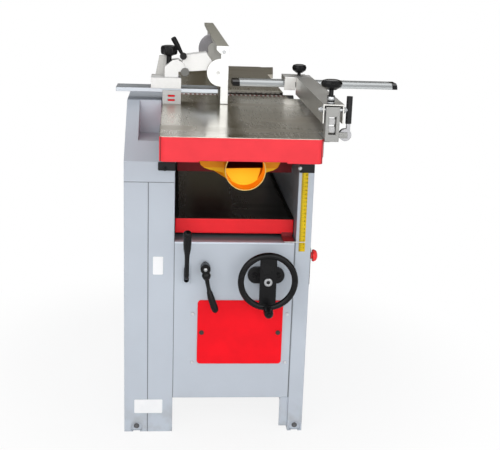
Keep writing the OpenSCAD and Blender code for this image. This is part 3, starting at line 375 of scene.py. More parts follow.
# %% Red castings with ground tops
TABLE_RED, MOUTH_DARK, UNDER_SHADE_RED = (0.82, 0.034, 0.048), (0.05, 0.035, 0.03), (0.07, 0.010, 0.010)
STRIP_X, STRIP_HALF, STRIP_FADE, MOUTH_HALF, WALL = -0.022, 0.028, 0.075, 0.100, 0.003
SWIRL_X, SWIRL_Y, OIL_TINT = 0.3, -0.2, (0.62, 0.55, 0.48)


def cast_table(node, name, top, iron_light, iron_dark, ledge, paint=TABLE_RED):
    """Red paint below top, ground iron above it and beyond x = ledge, with scratches, oil stains,
    swirl marks and painted sheen; dark bare iron in the mouth, painted shade underneath."""
    skin = Finish(name, specular_ior_level=0.25)
    x, y = skin.x, skin.y
    painted = skin.z.fall(top - 0.0012, top - 0.0008) * x.fall(ledge, ledge + 0.0002)
    bare = 1.0 - painted
    slow, grain = skin.noise(9.0, 5.0), skin.noise(60.0, 6.0, (14.0, 0.25, 1.0))
    stain = skin.noise(4.5, 7.0, (1.0, 0.55, 1.0)).rise(0.38, 0.68)
    oil = skin.noise(5.0, 6.0, (0.5, 2.0, 1.0)).rise(0.52, 0.66)
    swirl = (x - SWIRL_X).reach(y - SWIRL_Y) * 28.0 + 3.0 * slow
    mark = abs(x.math("FRACT", swirl) - 0.5).fall(0.02, 0.07) * skin.noise(7.0, 3.0).rise(0.5, 0.62)
    # partly real polish, partly painted sheen: the strip is paler and glossier
    polish_and_sheen = abs(x - STRIP_X).fall(STRIP_HALF, STRIP_FADE)
    iron = skin.blend(stain, iron_light, iron_dark)
    iron = skin.blend(grain.rise(0.45, 0.85) * 0.35, iron, times(1.15, iron_light))
    iron = skin.blend(oil * 0.5 + mark * 0.35, iron, tuple(k * c for k, c in zip(OIL_TINT, iron_dark)))
    iron = skin.blend(polish_and_sheen * 0.5, iron, times(1.5, iron_light))
    low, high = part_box(node)
    # painted shade: the red is darkened inside and under the table's skin
    under = x.within(low.x + WALL, ledge - WALL) * y.within(low.y + WALL, high.y - WALL)
    red = skin.blend(slow.rise(0.3, 0.75), paint, times(0.86, paint))
    red = skin.blend(abs(y).fall(MOUTH_HALF, MOUTH_HALF + 0.001), red, MOUTH_DARK)
    red = skin.blend(under, red, UNDER_SHADE_RED)
    iron_gloss = 0.22 - 0.12 * polish_and_sheen + 0.08 * grain + 0.06 * stain + 0.05 * oil
    height = skin.noise(160.0, 4.0) * painted + grain * bare * 0.2
    skin.dress(height, 0.00022, 0.004, base_color=skin.blend(bare, red, iron), metallic=bare,
               roughness=bare * iron_gloss + painted * (0.42 + 0.14 * slow))
    paint_on(skin, node)


INFEED_DROP, LEDGE_WIDE = 0.001, 0.045
IRON_LIGHT, IRON_DARK = (0.55, 0.525, 0.465), (0.385, 0.36, 0.305)
# painted shade: the thicknesser bed's iron is near black, partly oil and mostly the shade inside the machine
BED_SHADED_LIGHT, BED_SHADED_DARK, BED_RED = (0.055, 0.05, 0.043), (0.03, 0.027, 0.024), (0.98, 0.018, 0.028)
TABLE_TOP, BED_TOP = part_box("outfeed_table")[1].z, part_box("thicknesser_table")[1].z
TABLE_SIDE, BED_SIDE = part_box("infeed_table")[1].x - LEDGE_WIDE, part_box("thicknesser_table")[1].x + 0.001
cast_table("outfeed_table", "outfeed_casting", TABLE_TOP, IRON_LIGHT, IRON_DARK, TABLE_SIDE)
cast_table("infeed_table", "infeed_casting", TABLE_TOP - INFEED_DROP, IRON_LIGHT, IRON_DARK, TABLE_SIDE)
cast_table("thicknesser_table", "thicknesser_casting", BED_TOP, BED_SHADED_LIGHT, BED_SHADED_DARK, BED_SIDE, BED_RED)
print("ground tops at", round(TABLE_TOP, 3), round(BED_TOP, 3))


# %% Red paint of plates and castings
def red_paint(name, colour, rough=0.34, peel=0.00006, gloss=0.2):
    """Gloss red with slow mottling and a fine orange peel."""
    skin = Finish(name, specular_ior_level=gloss)
    slow = skin.noise(14.0, 4.0)
    body = skin.blend(slow.rise(0.3, 0.7), colour, times(0.9, colour))
    return skin.dress(skin.noise(380.0, 2.0), peel, 0.002, base_color=body, roughness=rough + 0.14 * slow)


plate_red = red_paint("plate_red", (0.95, 0.006, 0.016), gloss=0.12)
paint_on(plate_red, "access_plate")
paint_on(red_paint("casting_red", TABLE_RED, 0.4, 0.0002), "head_castings")
# painted shade: the chip chute's red is made dark for the shade inside the machine
paint_on(red_paint("chute_shaded_red", (0.17, 0.006, 0.010), 0.5, 0.0002), "chip_chute")

# %% [markdown]
# The pointer of the thickness scale is a red plate with a bare steel wire. They are one solid,
# so the wire is found by its place: it lies in front of the plate's edge. The plate's red is made
# dark as painted shade.

# %% Pointer plate and wire
WIRE_BACK = FRONT - 0.006
pointer = Finish("pointer_plate", specular_ior_level=0.4)
wire = pointer.y.fall(*about(WIRE_BACK, 0.0001))
shade = pointer.noise(60.0, 4.0)
# painted shade: the plate's red is dark for the shade it sits in
pointer.dress(shade, 0.00005, 0.001,
              base_color=pointer.blend(wire, (0.26, 0.008, 0.014), (0.62, 0.62, 0.60)), metallic=wire,
              roughness=0.3 + 0.15 * shade)
paint_on(pointer, "thickness_pointer")

# %% [markdown]
# ## Bare metals
# Turned steel, cast aluminium and extruded aluminium differ in the direction and coarseness of
# their marks. One recipe with a stretch along each axis gives all of them: noise that is
# squeezed across the marks and drawn out along them drives roughness, colour and bump.

# %% Metals
def metal(name, colour, rough, stretch, marks=70.0, depth=0.00003, soften=0.0015, metallic=1.0,
          contrast=0.82):
    """Metal with marks drawn along the axis whose stretch is small, and slow smudges in the gloss."""
    skin = Finish(name, metallic=metallic)
    line, slow = skin.noise(marks, 5.0, stretch), skin.noise(16.0, 4.0)
    body = skin.blend(line.rise(0.35, 0.75), times(contrast, colour), colour)
    return skin.dress(line, depth, soften,
                      base_color=body, roughness=rough + 0.14 * line + 0.12 * slow - 0.13)


ALONG_X, ALONG_Y, ALONG_Z, ALL_WAYS = (0.3, 9, 9), (9, 0.3, 9), (9, 9, 0.3), (6, 6, 6)
cast_aluminium = metal("cast_aluminium", (0.44, 0.44, 0.44), 0.48, ALL_WAYS, 160.0, 0.0001, 0.002, 0.6, 0.9)
post_metal = metal("post_casting", (0.30, 0.30, 0.29), 0.5, ALL_WAYS, 120.0, 0.0001, 0.002, 0.6, 0.85)
turned_steel = metal("turned_steel", (0.60, 0.61, 0.62), 0.25, (9, 9, 9), 40.0)
drawn_steel = metal("drawn_steel", (0.60, 0.61, 0.62), 0.22, ALONG_Z)
zinc = metal("zinc_steel", (0.46, 0.47, 0.48), 0.30, ALL_WAYS, 90.0)
grey_iron = metal("grey_iron", (0.13, 0.13, 0.135), 0.55, ALL_WAYS, 45.0, 0.0002, 0.003, 0.35)
paint_on(metal("beam_extrusion", (0.32, 0.335, 0.34), 0.36, ALONG_X, contrast=0.93), "guard_beam")
paint_on(metal("rail_bar", (0.44, 0.47, 0.51), 0.36, ALONG_X), "fence_rail")
paint_on(cast_aluminium, "rail_bracket")
paint_on(post_metal, "guard_bracket")
paint_on(turned_steel, "cutterblock", "knives", "thicknesser_infeed_roller", "thicknesser_outfeed_roller",
         "feed_chain", "motor_pulley")
paint_on(drawn_steel, "table_column", "elevation_screw", "handwheel_shaft", "kickback_fingers")
paint_on(zinc, "levelling_bolts", "pivot_pins")
paint_on(grey_iron, "cutter_bearings", "cutter_pulley", "motor", "motor_foot", "feed_gearbox", "column_guide",
         "screw_bracket")

# %% [markdown]
# Three parts change along Y. The fence's end is painted paler than its body, partly a fresh sawn
# face and partly a painted highlight where the light falls on it, and the front of its carriage,
# partly machined, is painted paler than its cast body the same way. The guard's arm ends in a
# holder of new, bright plate. How far along Y a point lies tells them apart. A steel pin in the
# carriage, found by its distance from the pin's axis, is painted grey as shade. The outfeed lip
# beside the cutter is slotted to let the air through, and the slots are so narrow that dark bars
# at a steady spacing along X, painted shade, do for them.

# %% Fence, carriage and arm
PIN_SHADE_GREY = (0.13, 0.13, 0.125)
PIN_ASIDE, PIN_UP, PIN_RADIUS, PIN_FRONT = 0.042, 0.041, 0.0112, 0.0265


def two_tone(name, near, far, start, rough, metallic, dark=None):
    """Metal drawn along Y that goes from the colour near to far just past y = start; dark masks a
    part painted grey as shade."""
    skin = Finish(name, metallic=metallic)
    line, slow = skin.noise(70.0, 5.0, ALONG_Y), skin.noise(16.0, 4.0)
    body = skin.blend(skin.y.rise(start, start + 0.0015), near, far)
    if dark:
        body = skin.blend(dark(skin), body, PIN_SHADE_GREY)
    body = skin.blend(line.rise(0.35, 0.75) * 0.2, body, times(0.6, far))
    return skin.dress(line, 0.00003, 0.0015,
                      base_color=body, roughness=rough + 0.14 * line + 0.12 * slow - 0.13)


def pin_boss(skin):
    """The round steel pin beside the carriage's clamp, told by its distance from the pin's axis; it is
    painted grey as shade.
    """
    low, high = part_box("fence_knob")
    x = skin.x - (0.5 * (low.x + high.x) + PIN_ASIDE)
    z = skin.z - (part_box("fence_rail")[1].z + PIN_UP)
    front = 0.5 * (low.y + high.y) - PIN_FRONT
    return x.reach(z).fall(*about(PIN_RADIUS, 0.0001)) * skin.y.fall(front, front + 0.0003)


FENCE_LOW, FENCE_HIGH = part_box("fence")
FENCE_END, FENCE_FACE = FENCE_LOW.y, FENCE_HIGH.x
SAWN_END, CARRIAGE_FACE, HOLDER_START = FENCE_END + 0.0005, FENCE_END + 0.0572, -0.0535
# painted highlight: the fence's end face is paler where light falls on it, partly also a fresh cut
fence_metal = two_tone("fence_extrusion", (0.74, 0.75, 0.75), (0.30, 0.29, 0.245), SAWN_END, 0.42, 0.6)
paint_on(fence_metal, "fence")
# painted highlight: the carriage's front is paler where light falls on it, partly also machined
carriage = two_tone("carriage_casting", (0.66, 0.66, 0.655), (0.30, 0.29, 0.26), CARRIAGE_FACE, 0.48, 0.6,
                    pin_boss)
paint_on(carriage, "fence_carriage")
arm_metal = two_tone("arm_channel", (0.46, 0.455, 0.435), (0.74, 0.74, 0.74), HOLDER_START, 0.34, 0.85)
paint_on(arm_metal, "guard_arm")

# %% Lips beside the cutter
SLOT_STEP = 0.0125
lip_skin = Finish("slotted_lip", metallic=0.2)
along_lip, wear = lip_skin.x, lip_skin.noise(80.0, 4.0)
# painted shade: dark bars stand for the shade inside the narrow slots
slot_shade_bars = abs(along_lip.math("FRACT", along_lip / SLOT_STEP) - 0.5).rise(0.2, 0.25)
slotted = lip_skin.blend(slot_shade_bars, (0.95, 0.92, 0.90), (0.22, 0.035, 0.03))
lip_skin.dress(wear, 0.00005, 0.001, base_color=slotted, roughness=0.3 + 0.2 * wear)
paint_on(lip_skin, "outfeed_lip")
paint_on(metal("lip_iron", IRON_LIGHT, 0.34, ALONG_Y), "infeed_lip")

# %% [markdown]
# The front panel's fasteners are one solid: the rivets round the red plate are bright aluminium,
# and the plate's own two screws, at its middle height, are blackened.

# %% Rivets and screws
PLATE_LOW, PLATE_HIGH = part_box("access_plate")
fasteners = Finish("panel_rivets", specular_ior_level=0.4)
screw = fasteners.z.within(*about(0.5 * (PLATE_LOW.z + PLATE_HIGH.z), 0.012))
speck = fasteners.noise(200.0, 3.0)
fasteners.dress(speck, 0.00004, 0.001,
                base_color=fasteners.blend(screw, (0.60, 0.62, 0.65), (0.035, 0.025, 0.022)),
                metallic=(1.0 - screw) * 0.8, roughness=0.35 + 0.15 * speck)
paint_on(fasteners, "panel_fasteners")

# %% [markdown]
# ## Plastics and rubber
# Moulded parts have an even spark-eroded grain and a skin gloss, and handled ones are polished
# where fingers rub. So fine noise goes into the bump and slow noise into colour and roughness.

# %% Moulded parts
def moulded(name, colour, rough, grain=900.0, depth=0.00005, soften=0.0015, gloss=0.3):
    """Plastic with a fine even grain and slow changes of gloss."""
    skin = Finish(name, specular_ior_level=gloss)
    slow = skin.noise(30.0, 4.0)
    pale = tuple(min(1.0, 1.2 * c + 0.004) for c in colour)
    body = skin.blend(slow.rise(0.45, 0.9) * 0.5, colour, pale)
    return skin.dress(skin.noise(grain, 2.0), depth, soften,
                      base_color=body, roughness=rough + 0.16 * slow - 0.08)


black_plastic = moulded("black_plastic", (0.0050, 0.0050, 0.0056), 0.26, gloss=0.16)
black_iron = moulded("black_iron", (0.009, 0.009, 0.010), 0.42, 120.0, 0.0002, 0.003, gloss=0.2)
paint_on(black_iron, "table_supports", "flange_bearing")
rubber = moulded("black_rubber", (0.008, 0.008, 0.008), 0.62, 500.0, 0.0001, gloss=0.12)
paint_on(black_plastic, "handwheel", "crank_grip", "lock_lever", "feed_lever", "switch_plate", "fence_knob",
         "guard_height_knob", "beam_knob", "guard_end_caps")
paint_on(rubber, "drive_belt", "edge_strips")
lever_gloss = moulded("lever_gloss", (0.003, 0.003, 0.0035), 0.2, gloss=0.14)
paint_on(lever_gloss, "fence_clamp_lever")
paint_on(moulded("red_button", (0.92, 0.03, 0.03), 0.25), "stop_button")
paint_on(moulded("green_button", (0.03, 0.30, 0.07), 0.25), "start_button")

# %% [markdown]
# The hood is a thin orange moulding. Inside its round port the colour is painted paler deep in
# and lower down, and a weak emission, only there, makes the inside glow: painted light for the
# light that falls into the port. The cut rim of the port has a painted highlight, and the lower
# strip of the wings is painted paler as the light below the table's shadow. The distance from the
# port's axis and the depth behind its mouth tell these places apart.

# %% Orange hood
PORT_X, PORT_Z, PORT_IN = 0.057, 0.713, 0.0489
PORT_FRONT, PORT_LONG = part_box("dust_hood")[0].y, 0.052
hood_skin = Finish("orange_plastic", specular_ior_level=0.12, emission_strength=1.0)
across, up = hood_skin.x - PORT_X, hood_skin.z - PORT_Z
deep_y, cloud = hood_skin.y - PORT_FRONT, hood_skin.noise(25.0, 4.0)
inside = across.reach(up).fall(*about(PORT_IN, 0.0002))
deep = deep_y.rise(PORT_LONG - 0.002, PORT_LONG + 0.004)
# painted highlight on the cut rim, and painted light on the wings' lower strip
rim = (1.0 - inside) * deep_y.fall(0.0004, 0.0008)
lit_wing_strip = (1.0 - inside) * deep_y.within(PORT_LONG - 0.001, PORT_LONG + 0.006) * up.fall(-0.006, -0.002)
outer = hood_skin.blend(cloud.rise(0.35, 0.75), (0.88, 0.30, 0.006), (0.80, 0.25, 0.004))
outer = hood_skin.blend(lit_wing_strip, outer, (1.0, 0.52, 0.012))
outer = hood_skin.blend(rim, outer, (1.0, 0.70, 0.22))
# painted light: paler deep inside and lower down, and a glow by emission
lit_lining = hood_skin.blend(deep, (1.0, 0.40, 0.006), (1.0, 0.64, 0.05))
glow_by_height = hood_skin.blend(up.rise(-0.036, 0.002) + 0.3 * cloud, (0.52, 0.37, 0.020), (0.46, 0.20, 0.004))
painted_glow = hood_skin.blend(deep, (0.22, 0.045, 0.0005), glow_by_height)
hood_skin.dress(hood_skin.noise(500.0, 2.0), 0.00006, 0.003,
                base_color=hood_skin.blend(inside, outer, lit_lining), roughness=0.34 + 0.14 * cloud,
                emission_color=hood_skin.blend(inside, (0.0, 0.0, 0.0), painted_glow))
paint_on(hood_skin, "dust_hood")

# %% [markdown]
# The cam lever is a steel rod with a black sleeve on its upper end, in one solid. Two solids would
# do as well, but height alone tells rod and sleeve apart.

# %% Cam lever
SLEEVE_LONG = 0.058
cam = Finish("cam_lever_finish", specular_ior_level=0.2)
sleeve = cam.z.rise(*about(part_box("cam_lever")[1].z - SLEEVE_LONG, 0.0005))
rub = cam.noise(120.0, 4.0)
cam.dress(rub, 0.00004, 0.001,
          base_color=cam.blend(sleeve, (0.30, 0.30, 0.31), (0.012, 0.012, 0.013)), metallic=1.0 - sleeve,
          roughness=0.28 + 0.14 * rub + 0.1 * sleeve)
paint_on(cam, "cam_lever")

# %% [markdown]
# ## The printed scale
# The yellow scale carries black lines for every millimetre, five and ten, longer at each step.
# A line is drawn where the height above zero, divided by the spacing, is close to a whole
# number, so it needs no image and stays sharp at any distance.

# %% Scale lines
SCALE_LOW, SCALE_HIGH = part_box("thickness_scale")
LINE_FULL, LINE_EDGE = 0.00016, 0.00022


def ruled(skin, step, reach):
    """1 on a line of about 0.4 mm at every step of z, from the left edge to reach."""
    z, end = skin.z, SCALE_LOW.x + reach
    off = abs(z.math("FRACT", (z - SCALE_LOW.z) / step + 0.5) - 0.5) * step
    return off.fall(LINE_FULL, LINE_EDGE) * skin.x.fall(end, end + 0.0002)


scale_skin = Finish("yellow_scale", specular_ior_level=0.2)
bare = 1.0 - ruled(scale_skin, 0.001, 0.004)
for step, reach in ((0.005, 0.006), (0.010, 0.009)):
    bare = bare * (1.0 - ruled(scale_skin, step, reach))
fade = scale_skin.noise(40.0, 4.0)
yellow = scale_skin.blend(fade.rise(0.3, 0.7), (0.76, 0.54, 0.005), (0.68, 0.47, 0.004))
scale_skin.set(base_color=scale_skin.blend(bare, (0.02, 0.02, 0.02), yellow), roughness=0.34 + 0.12 * fade)
paint_on(scale_skin, "thickness_scale")

# %% [markdown]
# ## Surfaces from arrays
# The small pieces are worked out with numpy. Nearly all of them are a stack of rings: a turned
# nut is circles of changing radius, a plate is rounded rectangles that shrink at the edge, and
# a lever is circles carried along a path. So one function skins any stack of rings, with a flat
# face on each end, and another makes the object and puts it on the body that carries it.

# %% Skin a stack of rings
def skin_rings(rings, loop=False):
    """Points and faces over rings (rows, columns, 3): quads between rows, then a flat face on each
    end or, in a loop, quads from the last row back to the first."""
    rows, cols = rings.shape[:2]
    i, j = np.meshgrid(np.arange(rows if loop else rows - 1), np.arange(cols), indexing="ij")
    a, b, k = i * cols + j, i * cols + (j + 1) % cols, (i + 1) % rows * cols
    sides = np.stack([a, b, k + (j + 1) % cols, k + j], -1).reshape(-1, 4).tolist()
    ends = [np.arange(cols)[::-1].tolist(), (np.arange(cols) + (rows - 1) * cols).tolist()]
    return rings.reshape(-1, 3), sides if loop else sides + ends


def axes_of(axis):
    """Unit vectors u, v and w, with w along the axis and u x v = w."""
    w = np.asarray(axis, float) / np.linalg.norm(axis)
    u = np.cross((0.0, 0.0, 1.0) if abs(w[2]) < 0.9 else (1.0, 0.0, 0.0), w)
    u /= np.linalg.norm(u)
    return u, np.cross(w, u), w


def turned(profile, centre, axis, sides=40, loop=False):
    """Turned shape: each (radius, height) in mm is a circle, or a polygon of few sides, about the
    axis; a loop is a ring."""
    u, v, w = axes_of(axis)
    t = np.linspace(0, 2 * np.pi, sides, endpoint=False)[None, :, None]
    r, h = (np.array(profile, float).T / 1000)[:, :, None, None]
    return skin_rings(np.asarray(centre) + r * (np.cos(t) * u + np.sin(t) * v) + h * w, loop)


def new_object(name, points, faces, finish):
    """An object at the origin with this mesh and finish."""
    mesh = bpy.data.meshes.new(name)
    mesh.from_pydata(points, [], faces)
    mesh.materials.append(finish.material)
    made = bpy.data.objects.new(name, mesh)
    scene.collection.objects.link(made)
    return made


def add_piece(name, shells, finish, body, smooth=30):
    """One object from closed shells, on its body; edges over smooth degrees stay sharp."""
    points, faces, start = [], [], 0
    for shell_points, shell_faces in shells:
        points.append(shell_points)
        faces += [[start + k for k in face] for face in shell_faces]
        start += len(shell_points)
    made = new_object(name, np.concatenate(points).tolist(), faces, finish)
    made.data.shade_smooth()
    made.data.set_sharp_from_angle(angle=math.radians(smooth))
    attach(made, body)
    print(name, len(faces), "faces on", body)
    return made


# %% [markdown]
# ## Bolts and nuts
# A bolt head is a six-sided ring stack with a chamfered crown on a round washer, and a domed nut
# is the same with a ball end. A socket screw is one turned profile that dips into its own hole.
# They hold the arm's pivot, the flange of the handwheel's bearing and the scale, and later the
# feet and the fence's end.

# %% Heads
WASHER = [(1.45, 0), (1.6, 0.1), (1.6, 0.3), (1.5, 0.4)]
HEX = [(1.15, 0.4), (1.15, 1.1), (1.0, 1.25)]
DOME = [(0.8, 1.25), (0.78, 1.5), (0.62, 1.85), (0.35, 2.05), (0.05, 2.1)]
SOCKET = [(1.0, 0), (1.05, 0.1), (1.05, 1.0), (0.95, 1.15), (0.62, 1.15), (0.6, 0.7), (0.05, 0.7)]
RIGHTWARD, TO_FRONT, TO_BACK, UPWARD = (1.0, 0.0, 0.0), (0.0, -1.0, 0.0), (0.0, 1.0, 0.0), (0.0, 0.0, 1.0)


def scaled(profile, k):
    """A profile for a thread of 1 mm, brought to k mm."""
    return [(k * r, k * h) for r, h in profile]


def hex_head(size, centre, axis, dome=False):
    """Washer, six-sided head and, if asked, a ball end; size is the thread's diameter in mm."""
    shells = [turned(scaled(WASHER, size), centre, axis, 24), turned(scaled(HEX, size), centre, axis, 6)]
    return shells + ([turned(scaled(DOME, size), centre, axis, 20)] if dome else [])


def socket_head(size, centre):
    """A socket screw that faces the front; size is the thread's diameter in mm."""
    return turned(scaled(SOCKET, size), centre, TO_FRONT, 24)


# %% Nuts and screws in place
hinge = {j["name"]: (np.array(j["pos_m"]), np.array(j["axis"])) for j in frame["joints"] if "pos_m" in j}
(PIVOT, PIVOT_AXIS), WHEEL = hinge["guard_arm_lift"], hinge["handwheel_turn"][0]
ARM_HALF, FLANGE_HALF, FLANGE_FRONT = 0.0226, 0.031, FRONT - 0.012
pivot_nuts = [shell for side in (1, -1)
              for shell in hex_head(5.0, PIVOT + side * ARM_HALF * PIVOT_AXIS, side * PIVOT_AXIS, True)]
add_piece("arm_pivot_nuts", pivot_nuts, zinc, "guard_arm")
flange_screws = [socket_head(6.0, (WHEEL[0] + s * FLANGE_HALF, FLANGE_FRONT, WHEEL[2])) for s in (-1, 1)]
add_piece("flange_screws", flange_screws, black_iron, "machine")
scale_bolt = hex_head(3.0, (SCALE_LOW.x - 0.0065, FRONT - 0.005, SCALE_HIGH.z - 0.006), TO_FRONT)
add_piece("scale_bolt", scale_bolt, zinc, "machine")

# %% [markdown]
# ## The handwheel's end nut
# The wheel is held by a bright ring nut with a dark centre hole. It is one turned profile that
# goes up the outside, over the rim and down into a shallow hole, and the bottom of the hole is a
# small black disc of its own, painted shade that makes the hole look deep.

# %% Ring nut
HUB_FRONT = WHEEL[1] - 0.003
RING = [(10.5, 0), (10.8, 0.8), (10.8, 4.0), (9.6, 5.4), (5.2, 5.4), (4.6, 4.9), (4.5, 4.0), (0.1, 4.0)]
hub_end = (WHEEL[0], HUB_FRONT, WHEEL[2])
add_piece("wheel_ring_nut", [turned(RING, hub_end, TO_FRONT)], zinc, "handwheel")
HOLE_SHADE_DISC = [(4.4, 4.01), (4.4, 4.1), (0.1, 4.12)]
add_piece("wheel_hole_shade_disc", [turned(HOLE_SHADE_DISC, hub_end, TO_FRONT, 24)], black_iron, "handwheel")

# %% [markdown]
# ## The locking lever
# On the real machine this is a ball hub, a second smaller ball, a thin bent neck and a fuller
# grip. A chain of primitives would show its joints, so it is one tube: circles whose radius
# follows a table of widths, carried along a path that bows a little to one side.

# %% Lever along a path
def carried(path, steps, widths, across=TO_BACK, sides=28):
    """Circles square to a path of points (mm) that never runs along across, skinned as one tube;
    widths lists (step, radius in mm)."""
    along = np.gradient(path, axis=0)
    along /= np.linalg.norm(along, axis=1, keepdims=True)
    u = np.cross(across, along)
    u /= np.linalg.norm(u, axis=1, keepdims=True)
    v = np.cross(along, u)
    t = np.linspace(0, 2 * np.pi, sides, endpoint=False)[None, :, None]
    radii = np.interp(steps, *np.array(widths).T)[:, None, None]
    return skin_rings((path[:, None] + radii * (np.cos(t) * u[:, None] + np.sin(t) * v[:, None])) / 1000)


LOCK = 1000 * hinge["lock_lever_turn"][0]
LOCK_ARM, LOCK_BOW = np.array([26.0, -8.0, -106.0]), 4.0
LOCK_OUT, BOSS_OUT, ROD_IN, ROD_LONG = 30, 12, 4, 490
LOCK_WIDTHS = [(-0.118, 0.2), (-0.11, 4.5), (-0.08, 9.8), (0.0, 13.4), (0.06, 11.6), (0.10, 8.8),
               (0.17, 11.6), (0.24, 9.4), (0.28, 5.6), (0.45, 5.0), (0.53, 5.4), (0.60, 7.6), (0.72, 8.8),
               (0.97, 9.2), (1.04, 7.8), (1.08, 3.6), (1.09, 0.2)]
BOSS = [(10.5, 0), (12.6, 2.2), (12.6, 26), (11.5, 28)]
CAP = [(4.6, 0), (4.8, 0.5), (4.2, 1.3), (2.6, 2.0), (0.1, 2.2)]
lock_hub = np.array([LOCK[0], 1000 * FRONT - LOCK_OUT, LOCK[2]])
boss_front = (lock_hub - (0, BOSS_OUT, 0)) / 1000
lock_steps = np.linspace(LOCK_WIDTHS[0][0], LOCK_WIDTHS[-1][0], 110)
bow = np.outer(-LOCK_BOW * np.sin(np.pi * np.clip(lock_steps, 0, 1)), RIGHTWARD)
lock_tube = carried(lock_hub + np.outer(lock_steps, LOCK_ARM) + bow, lock_steps, LOCK_WIDTHS)
lock_rod = turned([(8.0, 0), (8.0, ROD_LONG)], (lock_hub + (0, ROD_IN, 0)) / 1000, TO_BACK, 24)
lock_shells = [lock_tube, lock_rod, turned(BOSS, boss_front, TO_BACK, 32)]
lever = add_piece("lock_lever_grip", lock_shells, black_plastic, "lock_lever", 40)
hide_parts("lock_lever")
add_piece("lock_lever_cap", [turned(CAP, boss_front, TO_FRONT, 24)], zinc, "lock_lever")

# %% [markdown]
# ## The feed lever
# This lever comes out through a slot in the front panel, bends upwards, and widens to a ball. It
# is a tube like the other one. Its path starts as a few straight lines; a running mean over the
# points rounds the bend.

# %% Feed lever
FEED = 1000 * hinge["feed_lever_swing"][0]
FEED_PATH = np.array([(0, -9, 0.5), (0, -66, 4), (0, -92, 70), (0, -112, 132), (0, -115.6, 143.2)])
FEED_AT = np.append(0, np.cumsum(np.linalg.norm(np.diff(FEED_PATH, axis=0), axis=1)))
FEED_WIDTHS = [(0, 6.0), (119, 5.9), (131, 6.4), (149, 9.2), (163, 10.2), (179, 10.4), (193, 11.2),
               (199, 9.6), (203, 6.4), (204.5, 3.0), (205, 0.2)]
FEED_BOSS = [(13, -8), (14, -7), (14, 7), (13, 8), (6.4, 8), (6.4, -8)]
MEAN_OVER = 15
feed_steps = np.linspace(0, FEED_AT[-1], 150)
straight = np.stack([np.interp(feed_steps, FEED_AT, FEED_PATH[:, k]) for k in range(3)], -1)
longer = np.pad(straight, ((MEAN_OVER // 2, MEAN_OVER // 2), (0, 0)), "edge")
share = np.full(MEAN_OVER, 1 / MEAN_OVER)
bent = np.stack([np.convolve(column, share, "valid") for column in longer.T], -1)
feed_tube = carried(FEED + bent, feed_steps, FEED_WIDTHS, RIGHTWARD)
feed_shells = [feed_tube, turned(FEED_BOSS, FEED / 1000, RIGHTWARD, 32, True)]
feed_grip = add_piece("feed_lever_grip", feed_shells, black_plastic, "feed_lever", 40)
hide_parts("feed_lever")

# %% [markdown]
# ## The fence's clamp lever
# A short handle that leans over the carriage, thin at its hub and thick where the hand pushes.
# Again it is one tube, on a straight path from the hub, with the hub's disc and its pin as turned
# shells.

# %% Clamp lever
CLAMP = 1000 * hinge["fence_clamp_turn"][0]
CLAMP_LEAN, CLAMP_LONG = math.radians(30), 55.4
CLAMP_WIDTHS = [(-0.1, 0.2), (-0.09, 4.0), (0.0, 6.0), (0.16, 4.4), (0.34, 5.0), (0.55, 6.5), (0.93, 7.0),
                (0.99, 5.4), (1.0, 0.2)]
CLAMP_DISC, CLAMP_PIN = [(8.2, -7), (9, -6.2), (9, 6.6), (8.4, 7.2)], [(4, 5), (4, 25.5), (3.6, 26)]
clamp_hub = np.array([CLAMP[0], 1000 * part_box("fence_clamp_lever")[0].y + 7, CLAMP[2]])
clamp_arm = CLAMP_LONG * np.array([-math.sin(CLAMP_LEAN), 0, math.cos(CLAMP_LEAN)])
clamp_steps = np.linspace(CLAMP_WIDTHS[0][0], CLAMP_WIDTHS[-1][0], 70)
clamp_shells = [carried(clamp_hub + np.outer(clamp_steps, clamp_arm), clamp_steps, CLAMP_WIDTHS),
                turned(CLAMP_DISC, clamp_hub / 1000, TO_BACK, 32),
                turned(CLAMP_PIN, clamp_hub / 1000, TO_BACK, 24)]
clamp_grip = add_piece("clamp_lever_grip", clamp_shells, lever_gloss, "fence_clamp_lever",
                       40)
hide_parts("fence_clamp_lever")

# %% [markdown]
# ## Plates
# The cabinet's front carries two plain pale plates. A plate is a stack of rounded rectangles, the
# last one a little smaller, so that its edge catches the light. The same rings make the red
# inserts behind the rail bracket's slots and the two latches in the guard post's window. The plate
# round the feed lever has a slot, so its rings run in a loop, up the outside and down the slot.

# %% Rounded plates
def plate_rings(outlines, centre, normal, across, points):
    """A ring for each (wide, high, corner, inset, height) in mm, square to normal: a circle of radius
    corner - inset whose quarters are pushed apart by the straight sides."""
    u, w = np.asarray(across, float), np.asarray(normal, float)
    t = (np.arange(points) + 0.5) * 2 * np.pi / points
    wide, high, corner, inset, height = np.array(outlines, float).T[:, :, None]
    x = np.sign(np.cos(t)) * (wide / 2 - corner) + np.cos(t) * (corner - inset)
    y = np.sign(np.sin(t)) * (high / 2 - corner) + np.sin(t) * (corner - inset)
    rings = x[..., None] * u + y[..., None] * np.cross(w, u) + height[..., None] * w
    return np.asarray(centre) + rings / 1000


def rounded_plate(size, corner, thick, centre, normal=TO_FRONT, across=RIGHTWARD, edge=0.3):
    """A plate of (wide, high) mm, its front edge cut back by edge."""
    stack = [(*size, corner, 0, 0), (*size, corner, 0, thick - edge), (*size, corner, edge, thick)]
    return skin_rings(plate_rings(stack, centre, normal, across, 24))


def slot_plate(size, slot, thick, centre):
    """A plate with a hole, both (wide, high, corner) in mm: outer wall, front, wall of the hole, back."""
    stack = [(*size, 0, 0), (*size, 0, thick), (*slot, 0, thick), (*slot, 0, 0)]
    return skin_rings(plate_rings(stack, centre, TO_FRONT, RIGHTWARD, 48), True)


